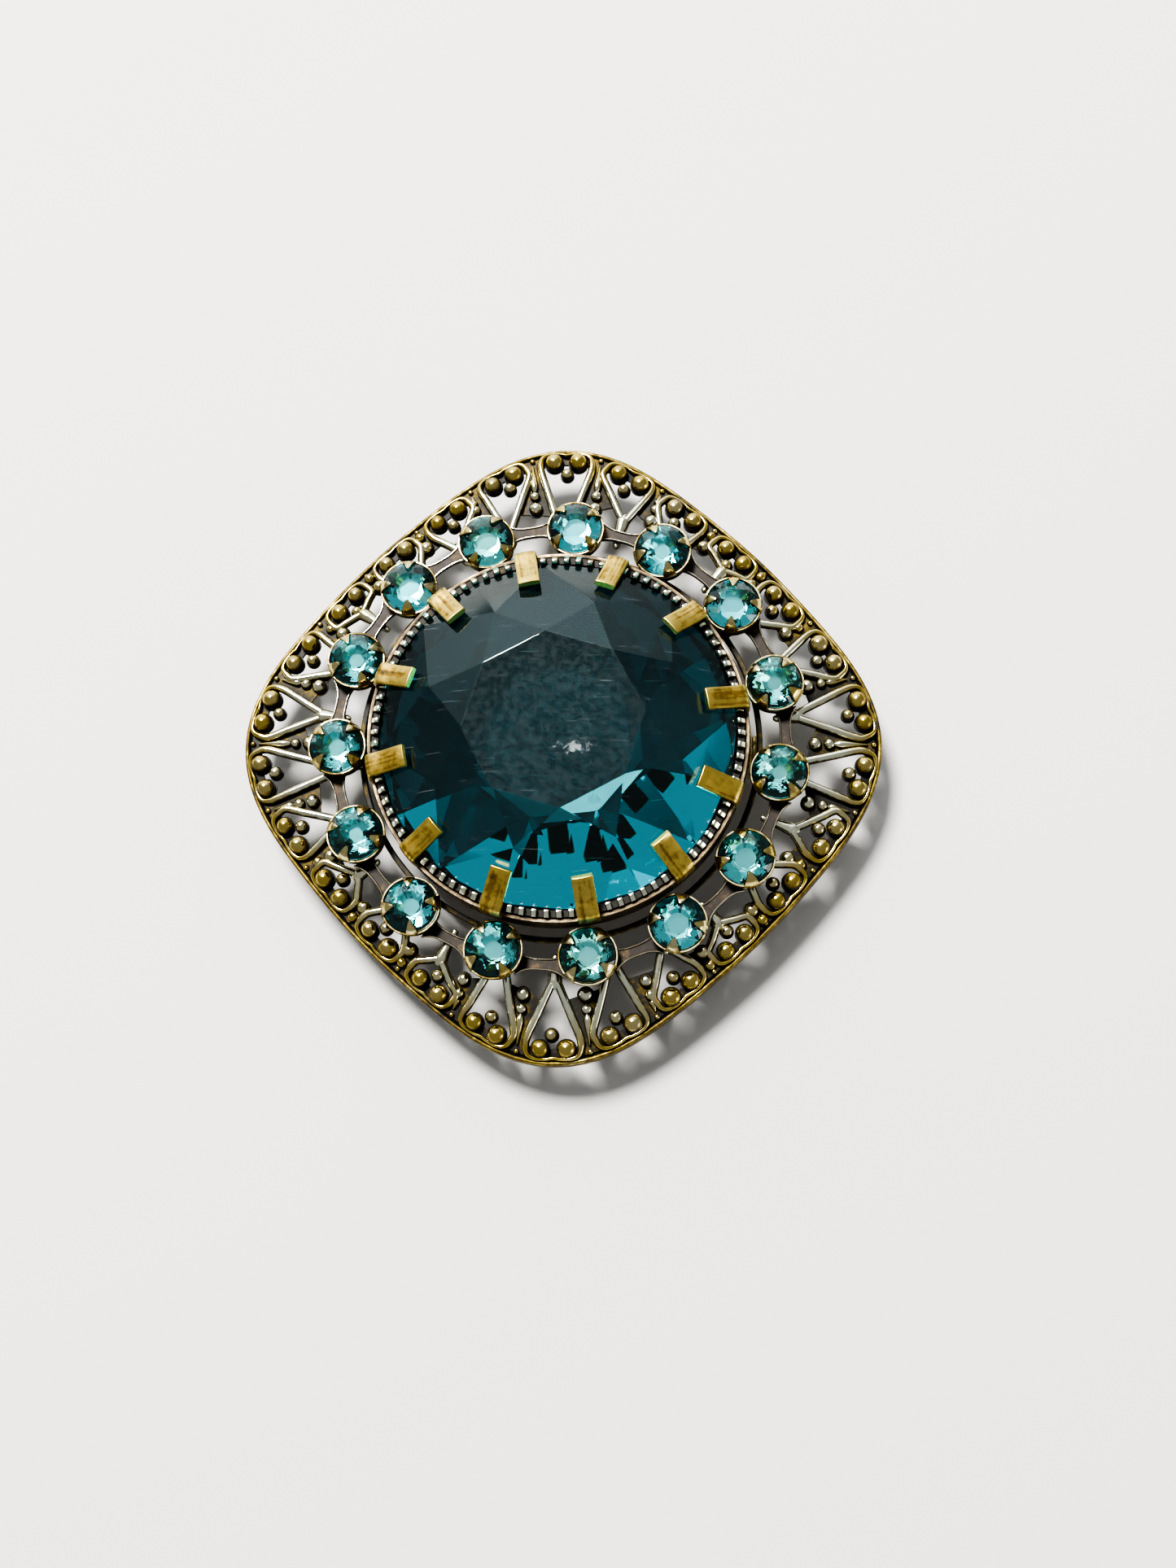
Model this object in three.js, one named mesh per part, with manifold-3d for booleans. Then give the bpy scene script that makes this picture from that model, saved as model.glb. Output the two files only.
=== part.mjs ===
// Costume brooch: a stamped filigree frame, a ring of claw-set chatons and one large faceted
// glass stone held by twelve prongs, with a hinged pin and a locking barrel catch on the back.
// Millimetres, +Z up. The brooch lies on its back: the front faces +Z, the pin runs along X.
// The origin is the middle of the footprint, on the surface that the pin fittings rest on.

import * as THREE from "three";
import { mergeVertices } from "three/addons/utils/BufferGeometryUtils.js";
import { ConvexGeometry } from "three/addons/geometries/ConvexGeometry.js";
import Module from "manifold-3d";

const wasm = await Module();
wasm.setup();

// ---------------------------------------------------------------- driving dimensions

// Frame outline: rim radius = OUTLINE_MEAN + OUTLINE_4 cos(4a) + OUTLINE_8 cos(8a).
const OUTLINE_MEAN = 21.2;
const OUTLINE_4 = 1.42;
const OUTLINE_8 = 0.18;
const OUTLINE_SEGMENTS = 80;
const WINDOWS = 26;                 // see-through windows round the frame
const RIM_Z = 2.65;                 // lower edge of the rim above the resting surface
const RIM_HEIGHT = 1.2;
const RIM_WALL = 0.45;
const SHEET = 0.45;                 // thickness of the stamped sheet
const SHEET_RISE = 0.5;             // how much higher the sheet is at the inner edge
const FRAME_INNER_R = 13.95;
const BEAD_INSET = 1.14;            // bead centres inside the rim outline
const BEAD_R = 0.68;
const BEAD_HALF_PITCH = 0.88;
const BEAD_HEIGHT = 1.0;

const CHATONS = 15;
const CHATON_RING_R = 15.7;
const CHATON_PHASE = 14.7;          // degrees
const CHATON_R = 1.85;
const CUP_R = 2.08;
const CUP_WALL = 0.16;
const CUP_FLOOR_R = 1.35;
const CUP_Z = RIM_Z + 2.3;          // underside of the cups
const CUP_HEIGHT = 1.05;
const CLAW_HEIGHT = 0.75;
const CLAW_TIP_R = 1.22;
const PLATE_Z = RIM_Z + 1.96;       // underside of the ring that carries the cups
const PLATE_THICK = 0.3;
const PLATE_INNER_R = 13.75;
const PLATE_OUTER_R = 17.2;

const PRONGS = 12;
const PRONG_PHASE = 11.6;           // degrees
const PRONG_WIDTH = 1.6;
const STONE_R = 12.5;
const GIRDLE_Z = RIM_Z + 4.25;
const GIRDLE_THICK = 0.15;
const CROWN_HEIGHT = 3.6;
const TABLE_R = 6.28;
const STAR_R = 9.2;
const TABLE_PHASE = 6.0;            // degrees
const CULET_R = 4.95;
const PAVILION_DEPTH = 2.75;
const SETTING_WALL_IN = 13.12;
const SETTING_WALL_OUT = 13.46;
const SETTING_Z = RIM_Z + 0.8;      // underside of the closed setting
const SETTING_WALL_TOP = RIM_Z + 4.1;
const MILLED_IN = 12.58;
const MILLED_OUT = 13.06;
const MILLED_TOP = RIM_Z + 4.7;
const MILLED_TEETH = 48;
const TOOTH_DEPTH = 0.2;

const PIN_Z = 1.45;                 // axis of the pin, the rivet and the barrel
const PIN_R = 0.4;
const HINGE_X = -12.2;
const BAR_THICK = 0.45;
const BAR_GAP = 0.04;               // solder gap between the back fittings
const BAR_HALF_WIDTH = 1.7;
const BAR_X0 = -14.3;
const BAR_X1 = 13.6;
const RIVET_R = 0.35;
const RIVET_CLEARANCE = 0.07;
const EAR_IN = 0.75;
const EAR_THICK = 0.45;
const EAR_HALF_LENGTH = 1.4;
const EYE_R = 0.95;
const EYE_HALF_WIDTH = 0.6;
const CATCH_X0 = 11.4;
const CATCH_X1 = 13.6;
const CATCH_HALF_WIDTH = 1.5;
const BARREL_R = 0.95;
const BARREL_BORE_R = 0.52;
const BARREL_CLEARANCE = 0.07;
const SLOT_HALF = 0.52;
const FLANGE_R = 1.3;
const FLANGE_THICK = 0.5;
const FLANGE_GAP = 0.1;
const LEVER_LENGTH = 2.35;
const LEVER_HALF_WIDTH = 0.42;

// ---------------------------------------------------------------- helpers

const brooch = new THREE.Group();
const DEG = Math.PI / 180;

const finish = {
  brass: { color: 0x8a7448, roughness: 0.38, metalness: 1.0 },
  darkBrass: { color: 0x4b4232, roughness: 0.5, metalness: 1.0 },
  prongBrass: { color: 0xa88a45, roughness: 0.34, metalness: 1.0 },
  steel: { color: 0x9a9a96, roughness: 0.3, metalness: 1.0 },
  teal: { color: 0x0c6f86, roughness: 0.04, metalness: 0.0 },
  aqua: { color: 0x7fd0d8, roughness: 0.04, metalness: 0.0 },
};

function add(name, geometry, look, place) {
  const mesh = new THREE.Mesh(geometry, new THREE.MeshStandardMaterial(finish[look]));
  mesh.name = name;
  if (place) place(mesh);
  brooch.add(mesh);
  return mesh;
}

function solid(geometry) {
  const bare = geometry.clone();
  bare.deleteAttribute("normal");
  bare.deleteAttribute("uv");
  const merged = mergeVertices(bare, 1e-5);
  return new wasm.Manifold(new wasm.Mesh({
    numProp: 3,
    vertProperties: new Float32Array(merged.attributes.position.array),
    triVerts: new Uint32Array(merged.index.array),
  }));
}

function geometryOf(manifold) {
  const mesh = manifold.getMesh();
  const geometry = new THREE.BufferGeometry();
  geometry.setAttribute("position", new THREE.BufferAttribute(mesh.vertProperties, 3));
  geometry.setIndex(new THREE.BufferAttribute(mesh.triVerts, 1));
  return geometry;
}

function union(geometries) {
  return geometries.map(solid).reduce((sum, next) => sum.add(next));
}

function extrude(shape, depth, curveSegments = 6) {
  return new THREE.ExtrudeGeometry(shape, { depth, bevelEnabled: false, curveSegments });
}

// A shape drawn in (x, z) and extruded along Y from y0 to y1.
function extrudeAlongY(shape, y0, y1, curveSegments = 6) {
  return extrude(shape, y1 - y0, curveSegments).rotateX(Math.PI / 2).translate(0, y1, 0);
}

// A shape drawn in (y, z) and extruded along X from x0 to x1.
function extrudeAlongX(shape, x0, x1, curveSegments = 6) {
  return extrude(shape, x1 - x0, curveSegments).rotateX(Math.PI / 2).rotateZ(Math.PI / 2)
    .translate(x0, 0, 0);
}

function polygon(points) {
  return new THREE.Shape(points.map(([x, y]) => new THREE.Vector2(x, y)));
}

function circlePath(x, y, r) {
  return new THREE.Path().absarc(x, y, r, 0, 2 * Math.PI, true);
}

function lathe(profile, segments) {
  const closed = profile[0][0] === 0 ? profile : [...profile, profile[0]];
  const geometry = new THREE.LatheGeometry(closed.map(([r, z]) => new THREE.Vector2(r, z)), segments);
  return geometry.rotateX(Math.PI / 2);
}

function polar(r, degrees, z = 0) {
  return new THREE.Vector3(r * Math.cos(degrees * DEG), r * Math.sin(degrees * DEG), z);
}

// ---------------------------------------------------------------- frame outline

function rimRadius(a) {
  return OUTLINE_MEAN + OUTLINE_4 * Math.cos(4 * a) + OUTLINE_8 * Math.cos(8 * a);
}

// Angles that cut the bead line into equal lengths, starting at the corner at 90 degrees.
function equalLengthAngles(count) {
  const steps = 3600;
  const travelled = [0];
  for (let i = 0; i < steps; i += 1) {
    const a0 = Math.PI / 2 + (2 * Math.PI * i) / steps;
    const a1 = Math.PI / 2 + (2 * Math.PI * (i + 1)) / steps;
    const r0 = rimRadius(a0) - BEAD_INSET;
    const r1 = rimRadius(a1) - BEAD_INSET;
    travelled.push(travelled[i] + Math.hypot(r1 - r0, ((r0 + r1) / 2) * (a1 - a0)));
  }
  const pitch = travelled[steps] / count;
  const angles = [];
  for (let k = 0, i = 0; k < count; k += 1) {
    while (travelled[i + 1] < k * pitch) i += 1;
    const share = (k * pitch - travelled[i]) / (travelled[i + 1] - travelled[i]);
    angles.push(Math.PI / 2 + (2 * Math.PI * (i + share)) / steps);
  }
  return angles;
}

// ---------------------------------------------------------------- filigree frame

// A ring whose section follows the rim outline: outset is measured from the outline inwards,
// and share moves a point from the rim (0) to the round inner edge (1).
function outlineRing(section, segments) {
  const positions = [];
  const index = [];
  const n = section.length;
  for (let i = 0; i < segments; i += 1) {
    const a = (2 * Math.PI * i) / segments;
    for (const [inset, share, z] of section) {
      const outer = rimRadius(a) - inset;
      const r = outer + (FRAME_INNER_R - outer) * share;
      positions.push(r * Math.cos(a), r * Math.sin(a), z);
    }
  }
  for (let i = 0; i < segments; i += 1) {
    const next = (i + 1) % segments;
    for (let j = 0; j < n; j += 1) {
      const k = (j + 1) % n;
      index.push(i * n + j, next * n + j, next * n + k);
      index.push(i * n + j, next * n + k, i * n + k);
    }
  }
  const geometry = new THREE.BufferGeometry();
  geometry.setAttribute("position", new THREE.Float32BufferAttribute(positions, 3));
  geometry.setIndex(index);
  return geometry;
}

function bead(r, a, side, z) {
  const dome = new THREE.CylinderGeometry(0.45 * BEAD_R, BEAD_R, BEAD_HEIGHT, 6);
  return dome.rotateX(Math.PI / 2).translate(r, side, z + BEAD_HEIGHT / 2).rotateZ(a);
}

function filigreeFrame() {
  const top = RIM_Z + RIM_HEIGHT;
  const innerTop = top + SHEET_RISE;
  const section = [
    [0, 0, RIM_Z],
    [0, 0, top],
    [0, 1, innerTop],
    [0, 1, innerTop - SHEET],
    [RIM_WALL, 0, top - SHEET],
    [RIM_WALL, 0, RIM_Z],
  ];
  let body = solid(outlineRing(section, OUTLINE_SEGMENTS));
  const beadZ = top - 0.1;
  for (const a of equalLengthAngles(WINDOWS)) {
    const line = rimRadius(a) - BEAD_INSET;
    const base = line - BEAD_R;
    const apex = 16.2 + 0.4 * (line - 19);
    const window = extrude(polygon([[base, -1.5], [base, 1.5], [apex, 0.25], [apex, -0.25]]), 2)
      .translate(0, 0, top - 1).rotateZ(a);
    body = body.subtract(solid(window));
    body = body.add(solid(bead(line, a, BEAD_HALF_PITCH, beadZ)));
    body = body.add(solid(bead(line, a, -BEAD_HALF_PITCH, beadZ)));
  }
  return geometryOf(body);
}

add("filigree_frame", filigreeFrame(), "brass");

// ---------------------------------------------------------------- chaton ring

function chatonRingPlate() {
  const shape = new THREE.Shape().absarc(0, 0, PLATE_OUTER_R, 0, 2 * Math.PI, false);
  shape.holes.push(circlePath(0, 0, PLATE_INNER_R));
  let plate = solid(extrude(shape, PLATE_THICK, 30));
  const holeRing = new THREE.CylinderGeometry(1.0, 1.0, 2, 8).rotateX(Math.PI / 2);
  const scallop = new THREE.CylinderGeometry(1.9, 1.9, 2, 12).rotateX(Math.PI / 2);
  for (let k = 0; k < CHATONS; k += 1) {
    const between = CHATON_PHASE + (360 / CHATONS) * (k + 0.5);
    plate = plate.subtract(solid(holeRing.clone().translate(...polar(14.5, between))));
    plate = plate.subtract(solid(scallop.clone().translate(...polar(18.55, between))));
  }
  return geometryOf(plate).translate(0, 0, PLATE_Z);
}

function chatonCup() {
  const profile = [
    [0, 0],
    [CUP_FLOOR_R, 0],
    [CUP_R, 0.7 * CUP_HEIGHT],
    [CUP_R, CUP_HEIGHT],
    [CUP_R - CUP_WALL, CUP_HEIGHT],
    [CUP_R - CUP_WALL, 0.72 * CUP_HEIGHT],
    [CUP_FLOOR_R - CUP_WALL, CUP_WALL],
    [0, CUP_WALL],
  ];
  const tip = CUP_HEIGHT + CLAW_HEIGHT;
  const inner = CUP_R - CUP_WALL + 0.01;
  const claw = new ConvexGeometry([
    new THREE.Vector3(inner, 0.42, CUP_HEIGHT - 0.15),
    new THREE.Vector3(inner, -0.42, CUP_HEIGHT - 0.15),
    new THREE.Vector3(CUP_R - 0.02, 0.42, CUP_HEIGHT - 0.15),
    new THREE.Vector3(CUP_R - 0.02, -0.42, CUP_HEIGHT - 0.15),
    new THREE.Vector3(CUP_R - 0.02, 0.36, CUP_HEIGHT + 0.2),
    new THREE.Vector3(CUP_R - 0.02, -0.36, CUP_HEIGHT + 0.2),
    new THREE.Vector3(CLAW_TIP_R, 0.08, tip),
    new THREE.Vector3(CLAW_TIP_R, -0.08, tip),
    new THREE.Vector3(CLAW_TIP_R, 0.08, tip - 0.13),
    new THREE.Vector3(CLAW_TIP_R, -0.08, tip - 0.13),
  ]);
  const claws = [45, 135, 225, 315].map((turn) => claw.clone().rotateZ(turn * DEG));
  return geometryOf(union([lathe(profile, 10), ...claws]));
}

// Small brilliant: eight-sided table, eight-sided crown and pavilion.
function chatonStone() {
  const points = [new THREE.Vector3(0, 0, 0.28)];
  for (let k = 0; k < 8; k += 1) {
    points.push(polar(1.0, 45 * k, CUP_HEIGHT + 0.62));
    points.push(polar(CHATON_R, 45 * k + 22.5, CUP_HEIGHT + 0.05));
    points.push(polar(CHATON_R, 45 * k + 22.5, CUP_HEIGHT - 0.05));
  }
  return new ConvexGeometry(points);
}

add("chaton_ring_plate", chatonRingPlate(), "darkBrass");
for (let k = 0; k < CHATONS; k += 1) {
  const number = String(k + 1).padStart(2, "0");
  const angle = CHATON_PHASE + (360 / CHATONS) * k;
  const place = (mesh) => {
    mesh.position.copy(polar(CHATON_RING_R, angle, CUP_Z));
    mesh.rotation.z = angle * DEG;
  };
  add(`chaton_cup_${number}`, chatonCup(), "brass", place);
  add(`chaton_${number}`, chatonStone(), "aqua", place);
}

// ---------------------------------------------------------------- centre setting

function centreSetting() {
  const skirt = RIM_Z + 1.95;
  const cup = lathe([
    [0, SETTING_Z],
    [9.0, SETTING_Z],
    [SETTING_WALL_OUT, skirt],
    [SETTING_WALL_OUT, SETTING_WALL_TOP],
    [SETTING_WALL_IN, SETTING_WALL_TOP],
    [SETTING_WALL_IN, skirt + 0.15],
    [8.85, SETTING_Z + 0.4],
    [0, SETTING_Z + 0.4],
  ], 40);
  const prongShape = polygon([
    [SETTING_WALL_IN, SETTING_WALL_TOP - 0.6],
    [SETTING_WALL_OUT, SETTING_WALL_TOP - 0.6],
    [SETTING_WALL_OUT, MILLED_TOP + 0.12],
    [SETTING_WALL_OUT - 0.25, MILLED_TOP + 0.5],
    [SETTING_WALL_OUT - 0.7, MILLED_TOP + 0.72],
    [10.9, MILLED_TOP + 1.55],
    [10.85, MILLED_TOP + 1.2],
    [SETTING_WALL_IN - 0.35, MILLED_TOP + 0.35],
    [SETTING_WALL_IN - 0.05, MILLED_TOP + 0.22],
    [SETTING_WALL_IN, MILLED_TOP],
  ]);
  const prong = extrudeAlongY(prongShape, -PRONG_WIDTH / 2, PRONG_WIDTH / 2);
  const prongs = [];
  for (let k = 0; k < PRONGS; k += 1) {
    prongs.push(prong.clone().rotateZ((PRONG_PHASE + (360 / PRONGS) * k) * DEG));
  }
  return geometryOf(union([cup, ...prongs]));
}

// Ring with a notched upper edge, standing inside the setting's wall round the girdle.
function milledBezel() {
  const base = RIM_Z + 2.2;
  const geometry = lathe([
    [MILLED_IN, base],
    [MILLED_OUT, base],
    [MILLED_OUT, MILLED_TOP],
    [MILLED_IN, MILLED_TOP],
  ], 2 * MILLED_TEETH);
  const position = geometry.attributes.position;
  const step = Math.PI / MILLED_TEETH;
  for (let i = 0; i < position.count; i += 1) {
    const turn = Math.round(Math.atan2(position.getY(i), position.getX(i)) / step);
    const top = position.getZ(i) > base + 1;
    if (top && Math.abs(turn) % 2 === 1) position.setZ(i, MILLED_TOP - TOOTH_DEPTH);
  }
  return geometryOf(solid(geometry));
}

// Brilliant crown (table, stars, kites, upper girdle facets) over a shallow pavilion.
function centreStone() {
  const tableZ = GIRDLE_Z + GIRDLE_THICK + CROWN_HEIGHT;
  const slope = CROWN_HEIGHT / (STONE_R - TABLE_R);
  const starZ = tableZ - (STAR_R * Math.cos(22.5 * DEG) - TABLE_R) * slope;
  const points = [];
  for (let k = 0; k < 8; k += 1) {
    const a = TABLE_PHASE + 45 * k;
    points.push(polar(TABLE_R, a, tableZ));
    points.push(polar(STAR_R, a + 22.5, starZ));
    points.push(polar(CULET_R, a, GIRDLE_Z - PAVILION_DEPTH));
    for (const half of [0, 22.5]) {
      points.push(polar(STONE_R, a + half, GIRDLE_Z));
      points.push(polar(STONE_R, a + half, GIRDLE_Z + GIRDLE_THICK));
    }
  }
  return new ConvexGeometry(points);
}

add("centre_setting", centreSetting(), "prongBrass");
add("milled_bezel", milledBezel(), "darkBrass");
add("centre_stone", centreStone(), "teal");

// ---------------------------------------------------------------- pin, hinge and catch

const BAR_TOP = SETTING_Z - BAR_GAP;
const BAR_BOTTOM = BAR_TOP - BAR_THICK;
const FITTING_TOP = BAR_BOTTOM - BAR_GAP;

function pinBar() {
  const w = BAR_HALF_WIDTH;
  const shape = new THREE.Shape();
  shape.moveTo(BAR_X0 + w, -w);
  shape.lineTo(BAR_X1, -w);
  shape.lineTo(BAR_X1, w);
  shape.lineTo(BAR_X0 + w, w);
  shape.absarc(BAR_X0 + w, 0, w, Math.PI / 2, 1.5 * Math.PI, false);
  return extrude(shape, BAR_THICK, 8).translate(0, 0, BAR_BOTTOM);
}

// Saddle with two ears; the ears' lower edges are flat and carry the brooch when it lies down.
function hingeBracket() {
  const h = EAR_HALF_LENGTH;
  const ear = new THREE.Shape();
  ear.moveTo(HINGE_X - h, FITTING_TOP);
  ear.lineTo(HINGE_X - h, 0.7);
  ear.absarc(HINGE_X - h + 0.7, 0.7, 0.7, Math.PI, 1.5 * Math.PI, false);
  ear.absarc(HINGE_X + h - 0.7, 0.7, 0.7, 1.5 * Math.PI, 2 * Math.PI, false);
  ear.lineTo(HINGE_X + h, FITTING_TOP);
  ear.holes.push(circlePath(HINGE_X, PIN_Z, RIVET_R + RIVET_CLEARANCE));
  const web = polygon([
    [HINGE_X - h, FITTING_TOP - 0.4],
    [HINGE_X + h, FITTING_TOP - 0.4],
    [HINGE_X + h, FITTING_TOP],
    [HINGE_X - h, FITTING_TOP],
  ]);
  return geometryOf(union([
    extrudeAlongY(ear, EAR_IN, EAR_IN + EAR_THICK, 5),
    extrudeAlongY(ear, -EAR_IN - EAR_THICK, -EAR_IN, 5),
    extrudeAlongY(web, -EAR_IN - 0.1, EAR_IN + 0.1),
  ]));
}

function hingeRivet() {
  const end = EAR_IN + EAR_THICK;
  const head = 0.3;
  const profile = [
    [0, -end - head],
    [0.45, -end - head],
    [0.62, -end - 0.03],
    [RIVET_R, -end - 0.03],
    [RIVET_R, end + 0.03],
    [0.62, end + 0.03],
    [0.45, end + head],
    [0, end + head],
  ];
  return lathe(profile, 16).rotateX(Math.PI / 2).translate(HINGE_X, 0, PIN_Z);
}

function pinStem() {
  const eye = new THREE.Shape().absarc(0, 0, EYE_R, 0, 2 * Math.PI, false);
  eye.holes.push(circlePath(0, 0, RIVET_R + RIVET_CLEARANCE));
  const length = CATCH_X1 + FLANGE_GAP + FLANGE_THICK - HINGE_X;
  const shank = lathe([
    [0, 0.7],
    [PIN_R, 0.7],
    [PIN_R, length - 4.5],
    [PIN_R * 0.6, length - 1.6],
    [0, length],
  ], 12).rotateY(Math.PI / 2);
  return geometryOf(union([extrudeAlongY(eye, -EYE_HALF_WIDTH, EYE_HALF_WIDTH, 10), shank]));
}

// Block with a round bore along X and a narrow slot below it, so that the pin drops out.
function catchBody() {
  const w = CATCH_HALF_WIDTH;
  const bore = BARREL_R + BARREL_CLEARANCE;
  const dip = Math.asin(SLOT_HALF / bore);
  const shape = new THREE.Shape();
  shape.moveTo(SLOT_HALF, 0);
  shape.lineTo(w, 0);
  shape.lineTo(w, FITTING_TOP - 0.5);
  shape.absarc(w - 0.5, FITTING_TOP - 0.5, 0.5, 0, Math.PI / 2, false);
  shape.absarc(-w + 0.5, FITTING_TOP - 0.5, 0.5, Math.PI / 2, Math.PI, false);
  shape.lineTo(-w, 0);
  shape.lineTo(-SLOT_HALF, 0);
  shape.absarc(0, PIN_Z, bore, -Math.PI / 2 - dip, -Math.PI / 2 + dip, true);
  return extrudeAlongX(shape, CATCH_X0, CATCH_X1, 8);
}

// Barrel with the same slot, a flange outside the block and a lever to turn it by.
function catchBarrel() {
  const slotted = (r) => {
    const outer = Math.asin(SLOT_HALF / r);
    const inner = Math.asin((SLOT_HALF - 0.02) / BARREL_BORE_R);
    const shape = new THREE.Shape();
    shape.absarc(0, 0, r, -Math.PI / 2 + outer, 1.5 * Math.PI - outer, false);
    shape.absarc(0, 0, BARREL_BORE_R, 1.5 * Math.PI - inner, -Math.PI / 2 + inner, true);
    return shape;
  };
  const flangeX = CATCH_X1 + FLANGE_GAP;
  const lever = polygon([
    [-FLANGE_R + 0.3, -LEVER_HALF_WIDTH],
    [-FLANGE_R + 0.3, LEVER_HALF_WIDTH],
    [-LEVER_LENGTH, LEVER_HALF_WIDTH * 0.8],
    [-LEVER_LENGTH, -LEVER_HALF_WIDTH * 0.8],
  ]);
  return geometryOf(union([
    extrudeAlongX(slotted(BARREL_R), CATCH_X0 - 0.2, flangeX + 0.1, 10),
    extrudeAlongX(slotted(FLANGE_R), flangeX, flangeX + FLANGE_THICK, 10),
    extrudeAlongX(lever, flangeX, flangeX + FLANGE_THICK),
  ]));
}

add("pin_bar", pinBar(), "brass");
add("hinge_bracket", hingeBracket(), "brass");
add("hinge_rivet", hingeRivet(), "brass");
add("pin_stem", pinStem(), "steel", (mesh) => mesh.position.set(HINGE_X, 0, PIN_Z));
add("catch_body", catchBody(), "brass");
add("catch_barrel", catchBarrel(), "brass", (mesh) => mesh.position.set(0, 0, PIN_Z));

export default brooch;
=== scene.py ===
"""Looks for the filigree brooch: detailed metalwork, cut glass, materials, light and camera.

Shapes are worked out in millimetres and turned into metres when a mesh is made.
"""
import random
from math import asin, atan2, cos, hypot, pi, radians, sin, tan

import bmesh
import bpy
import numpy as np
from mathutils import Matrix, Vector


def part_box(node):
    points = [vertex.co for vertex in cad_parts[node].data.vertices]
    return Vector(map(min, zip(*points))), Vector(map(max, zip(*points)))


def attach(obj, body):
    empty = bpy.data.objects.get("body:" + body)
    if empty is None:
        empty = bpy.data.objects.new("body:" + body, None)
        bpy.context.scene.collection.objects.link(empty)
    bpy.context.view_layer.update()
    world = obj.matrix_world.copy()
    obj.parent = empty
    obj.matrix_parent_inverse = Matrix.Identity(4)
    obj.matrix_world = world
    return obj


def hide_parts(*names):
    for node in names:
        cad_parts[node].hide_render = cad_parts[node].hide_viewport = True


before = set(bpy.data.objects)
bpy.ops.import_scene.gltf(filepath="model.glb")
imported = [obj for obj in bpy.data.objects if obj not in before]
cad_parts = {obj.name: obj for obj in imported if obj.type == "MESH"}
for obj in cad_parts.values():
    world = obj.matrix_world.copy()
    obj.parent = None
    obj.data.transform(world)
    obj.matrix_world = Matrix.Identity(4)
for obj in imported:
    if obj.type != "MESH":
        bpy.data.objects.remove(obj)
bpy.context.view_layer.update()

MM = 0.001
TAU = 2 * pi
rng = random.Random(26)


# ------------------------------------------------------------------ sizes read from the frame

def box_mm(node):
    low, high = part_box(node)
    return np.array(low) / MM, np.array(high) / MM


FRAME_LOW, FRAME_HIGH = box_mm("filigree_frame")
STONE_LOW, STONE_HIGH = box_mm("centre_stone")
BEZEL_LOW, BEZEL_HIGH = box_mm("milled_bezel")
PLATE_LOW, PLATE_HIGH = box_mm("chaton_ring_plate")
DISH_Z = box_mm("centre_setting")[0][2]  # underside of the setting's dish

CORNER_R = FRAME_HIGH[0]                 # outline radius at the four corners
LOBES = ((4, 1.42), (8, 0.18))           # repeats and size of the waves in the outline
RIM_Z = FRAME_LOW[2]
RIM_TOP = RIM_Z + 1.2
SHEET_TOP = RIM_TOP + 0.5                # top of the sheet at its inner edge
SHEET_R = 13.95                          # inner edge of the sheet
SKIRT_Z = RIM_Z + 1.95                   # where the setting's dish turns up into its wall
WINDOWS = 26
CHATONS = 15
PRONGS = 12
TEETH = 94                               # round the milled ring
BEAD_INSET = 1.14
BEAD_R = 0.68
BEAD_HALF_PITCH = 0.88
SMALL_BEAD_R = 0.45
PANEL_R = 17.35                          # inner end of the panels between the windows


def around(a, r=1.0):
    """Point at an angle and a distance from the centre."""
    return np.array([cos(a), sin(a)]) * r


def turned_point(x, y, c, s, centre=(0, 0)):
    """A point turned by the angle with this cosine and sine, then moved by the centre."""
    return centre[0] + x * c - y * s, centre[1] + x * s + y * c


def rim_radius(a):
    """Cushion-shaped outline, corners at 0, 90, 180 and 270 degrees."""
    return CORNER_R + sum(size * (cos(repeats * a) - 1) for repeats, size in LOBES)


def rim_point(a, inset=0.0):
    """Point on the outline moved inwards along its normal, and the unit tangent and normal."""
    step = 1e-4
    p = around(a, rim_radius(a))
    q = around(a + step, rim_radius(a + step))
    tangent = (q - p) / np.linalg.norm(q - p)
    normal = np.array([tangent[1], -tangent[0]])
    return p - normal * inset, tangent, normal


def equal_length_angles(count):
    """Angles that cut the bead line into equal lengths, from the corner at the top."""
    steps = 3600
    angles = pi / 2 + TAU * np.arange(steps + 1) / steps
    points = np.array([rim_point(a, BEAD_INSET)[0] for a in angles])
    travelled = np.concatenate([[0], np.cumsum(np.linalg.norm(np.diff(points, axis=0), axis=1))])
    return np.interp(np.arange(count) * travelled[-1] / count, travelled, angles)


def sheet_z(x, y):
    """Height of the stamped sheet's top surface: it rises from the rim to the inner edge."""
    outer = rim_radius(atan2(y, x))
    share = min(max((outer - hypot(x, y)) / (outer - SHEET_R), 0.0), 1.0)
    return RIM_TOP + (SHEET_TOP - RIM_TOP) * share


# ------------------------------------------------------------------ mesh helpers

def new_object(name, data):
    obj = bpy.data.objects.new(name, data)
    bpy.context.scene.collection.objects.link(obj)
    return obj


def from_bmesh(bm, name, material):
    mesh = bpy.data.meshes.new(name)
    bm.to_mesh(mesh)
    bm.free()
    mesh.materials.append(material)
    return new_object(name, mesh)


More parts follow.
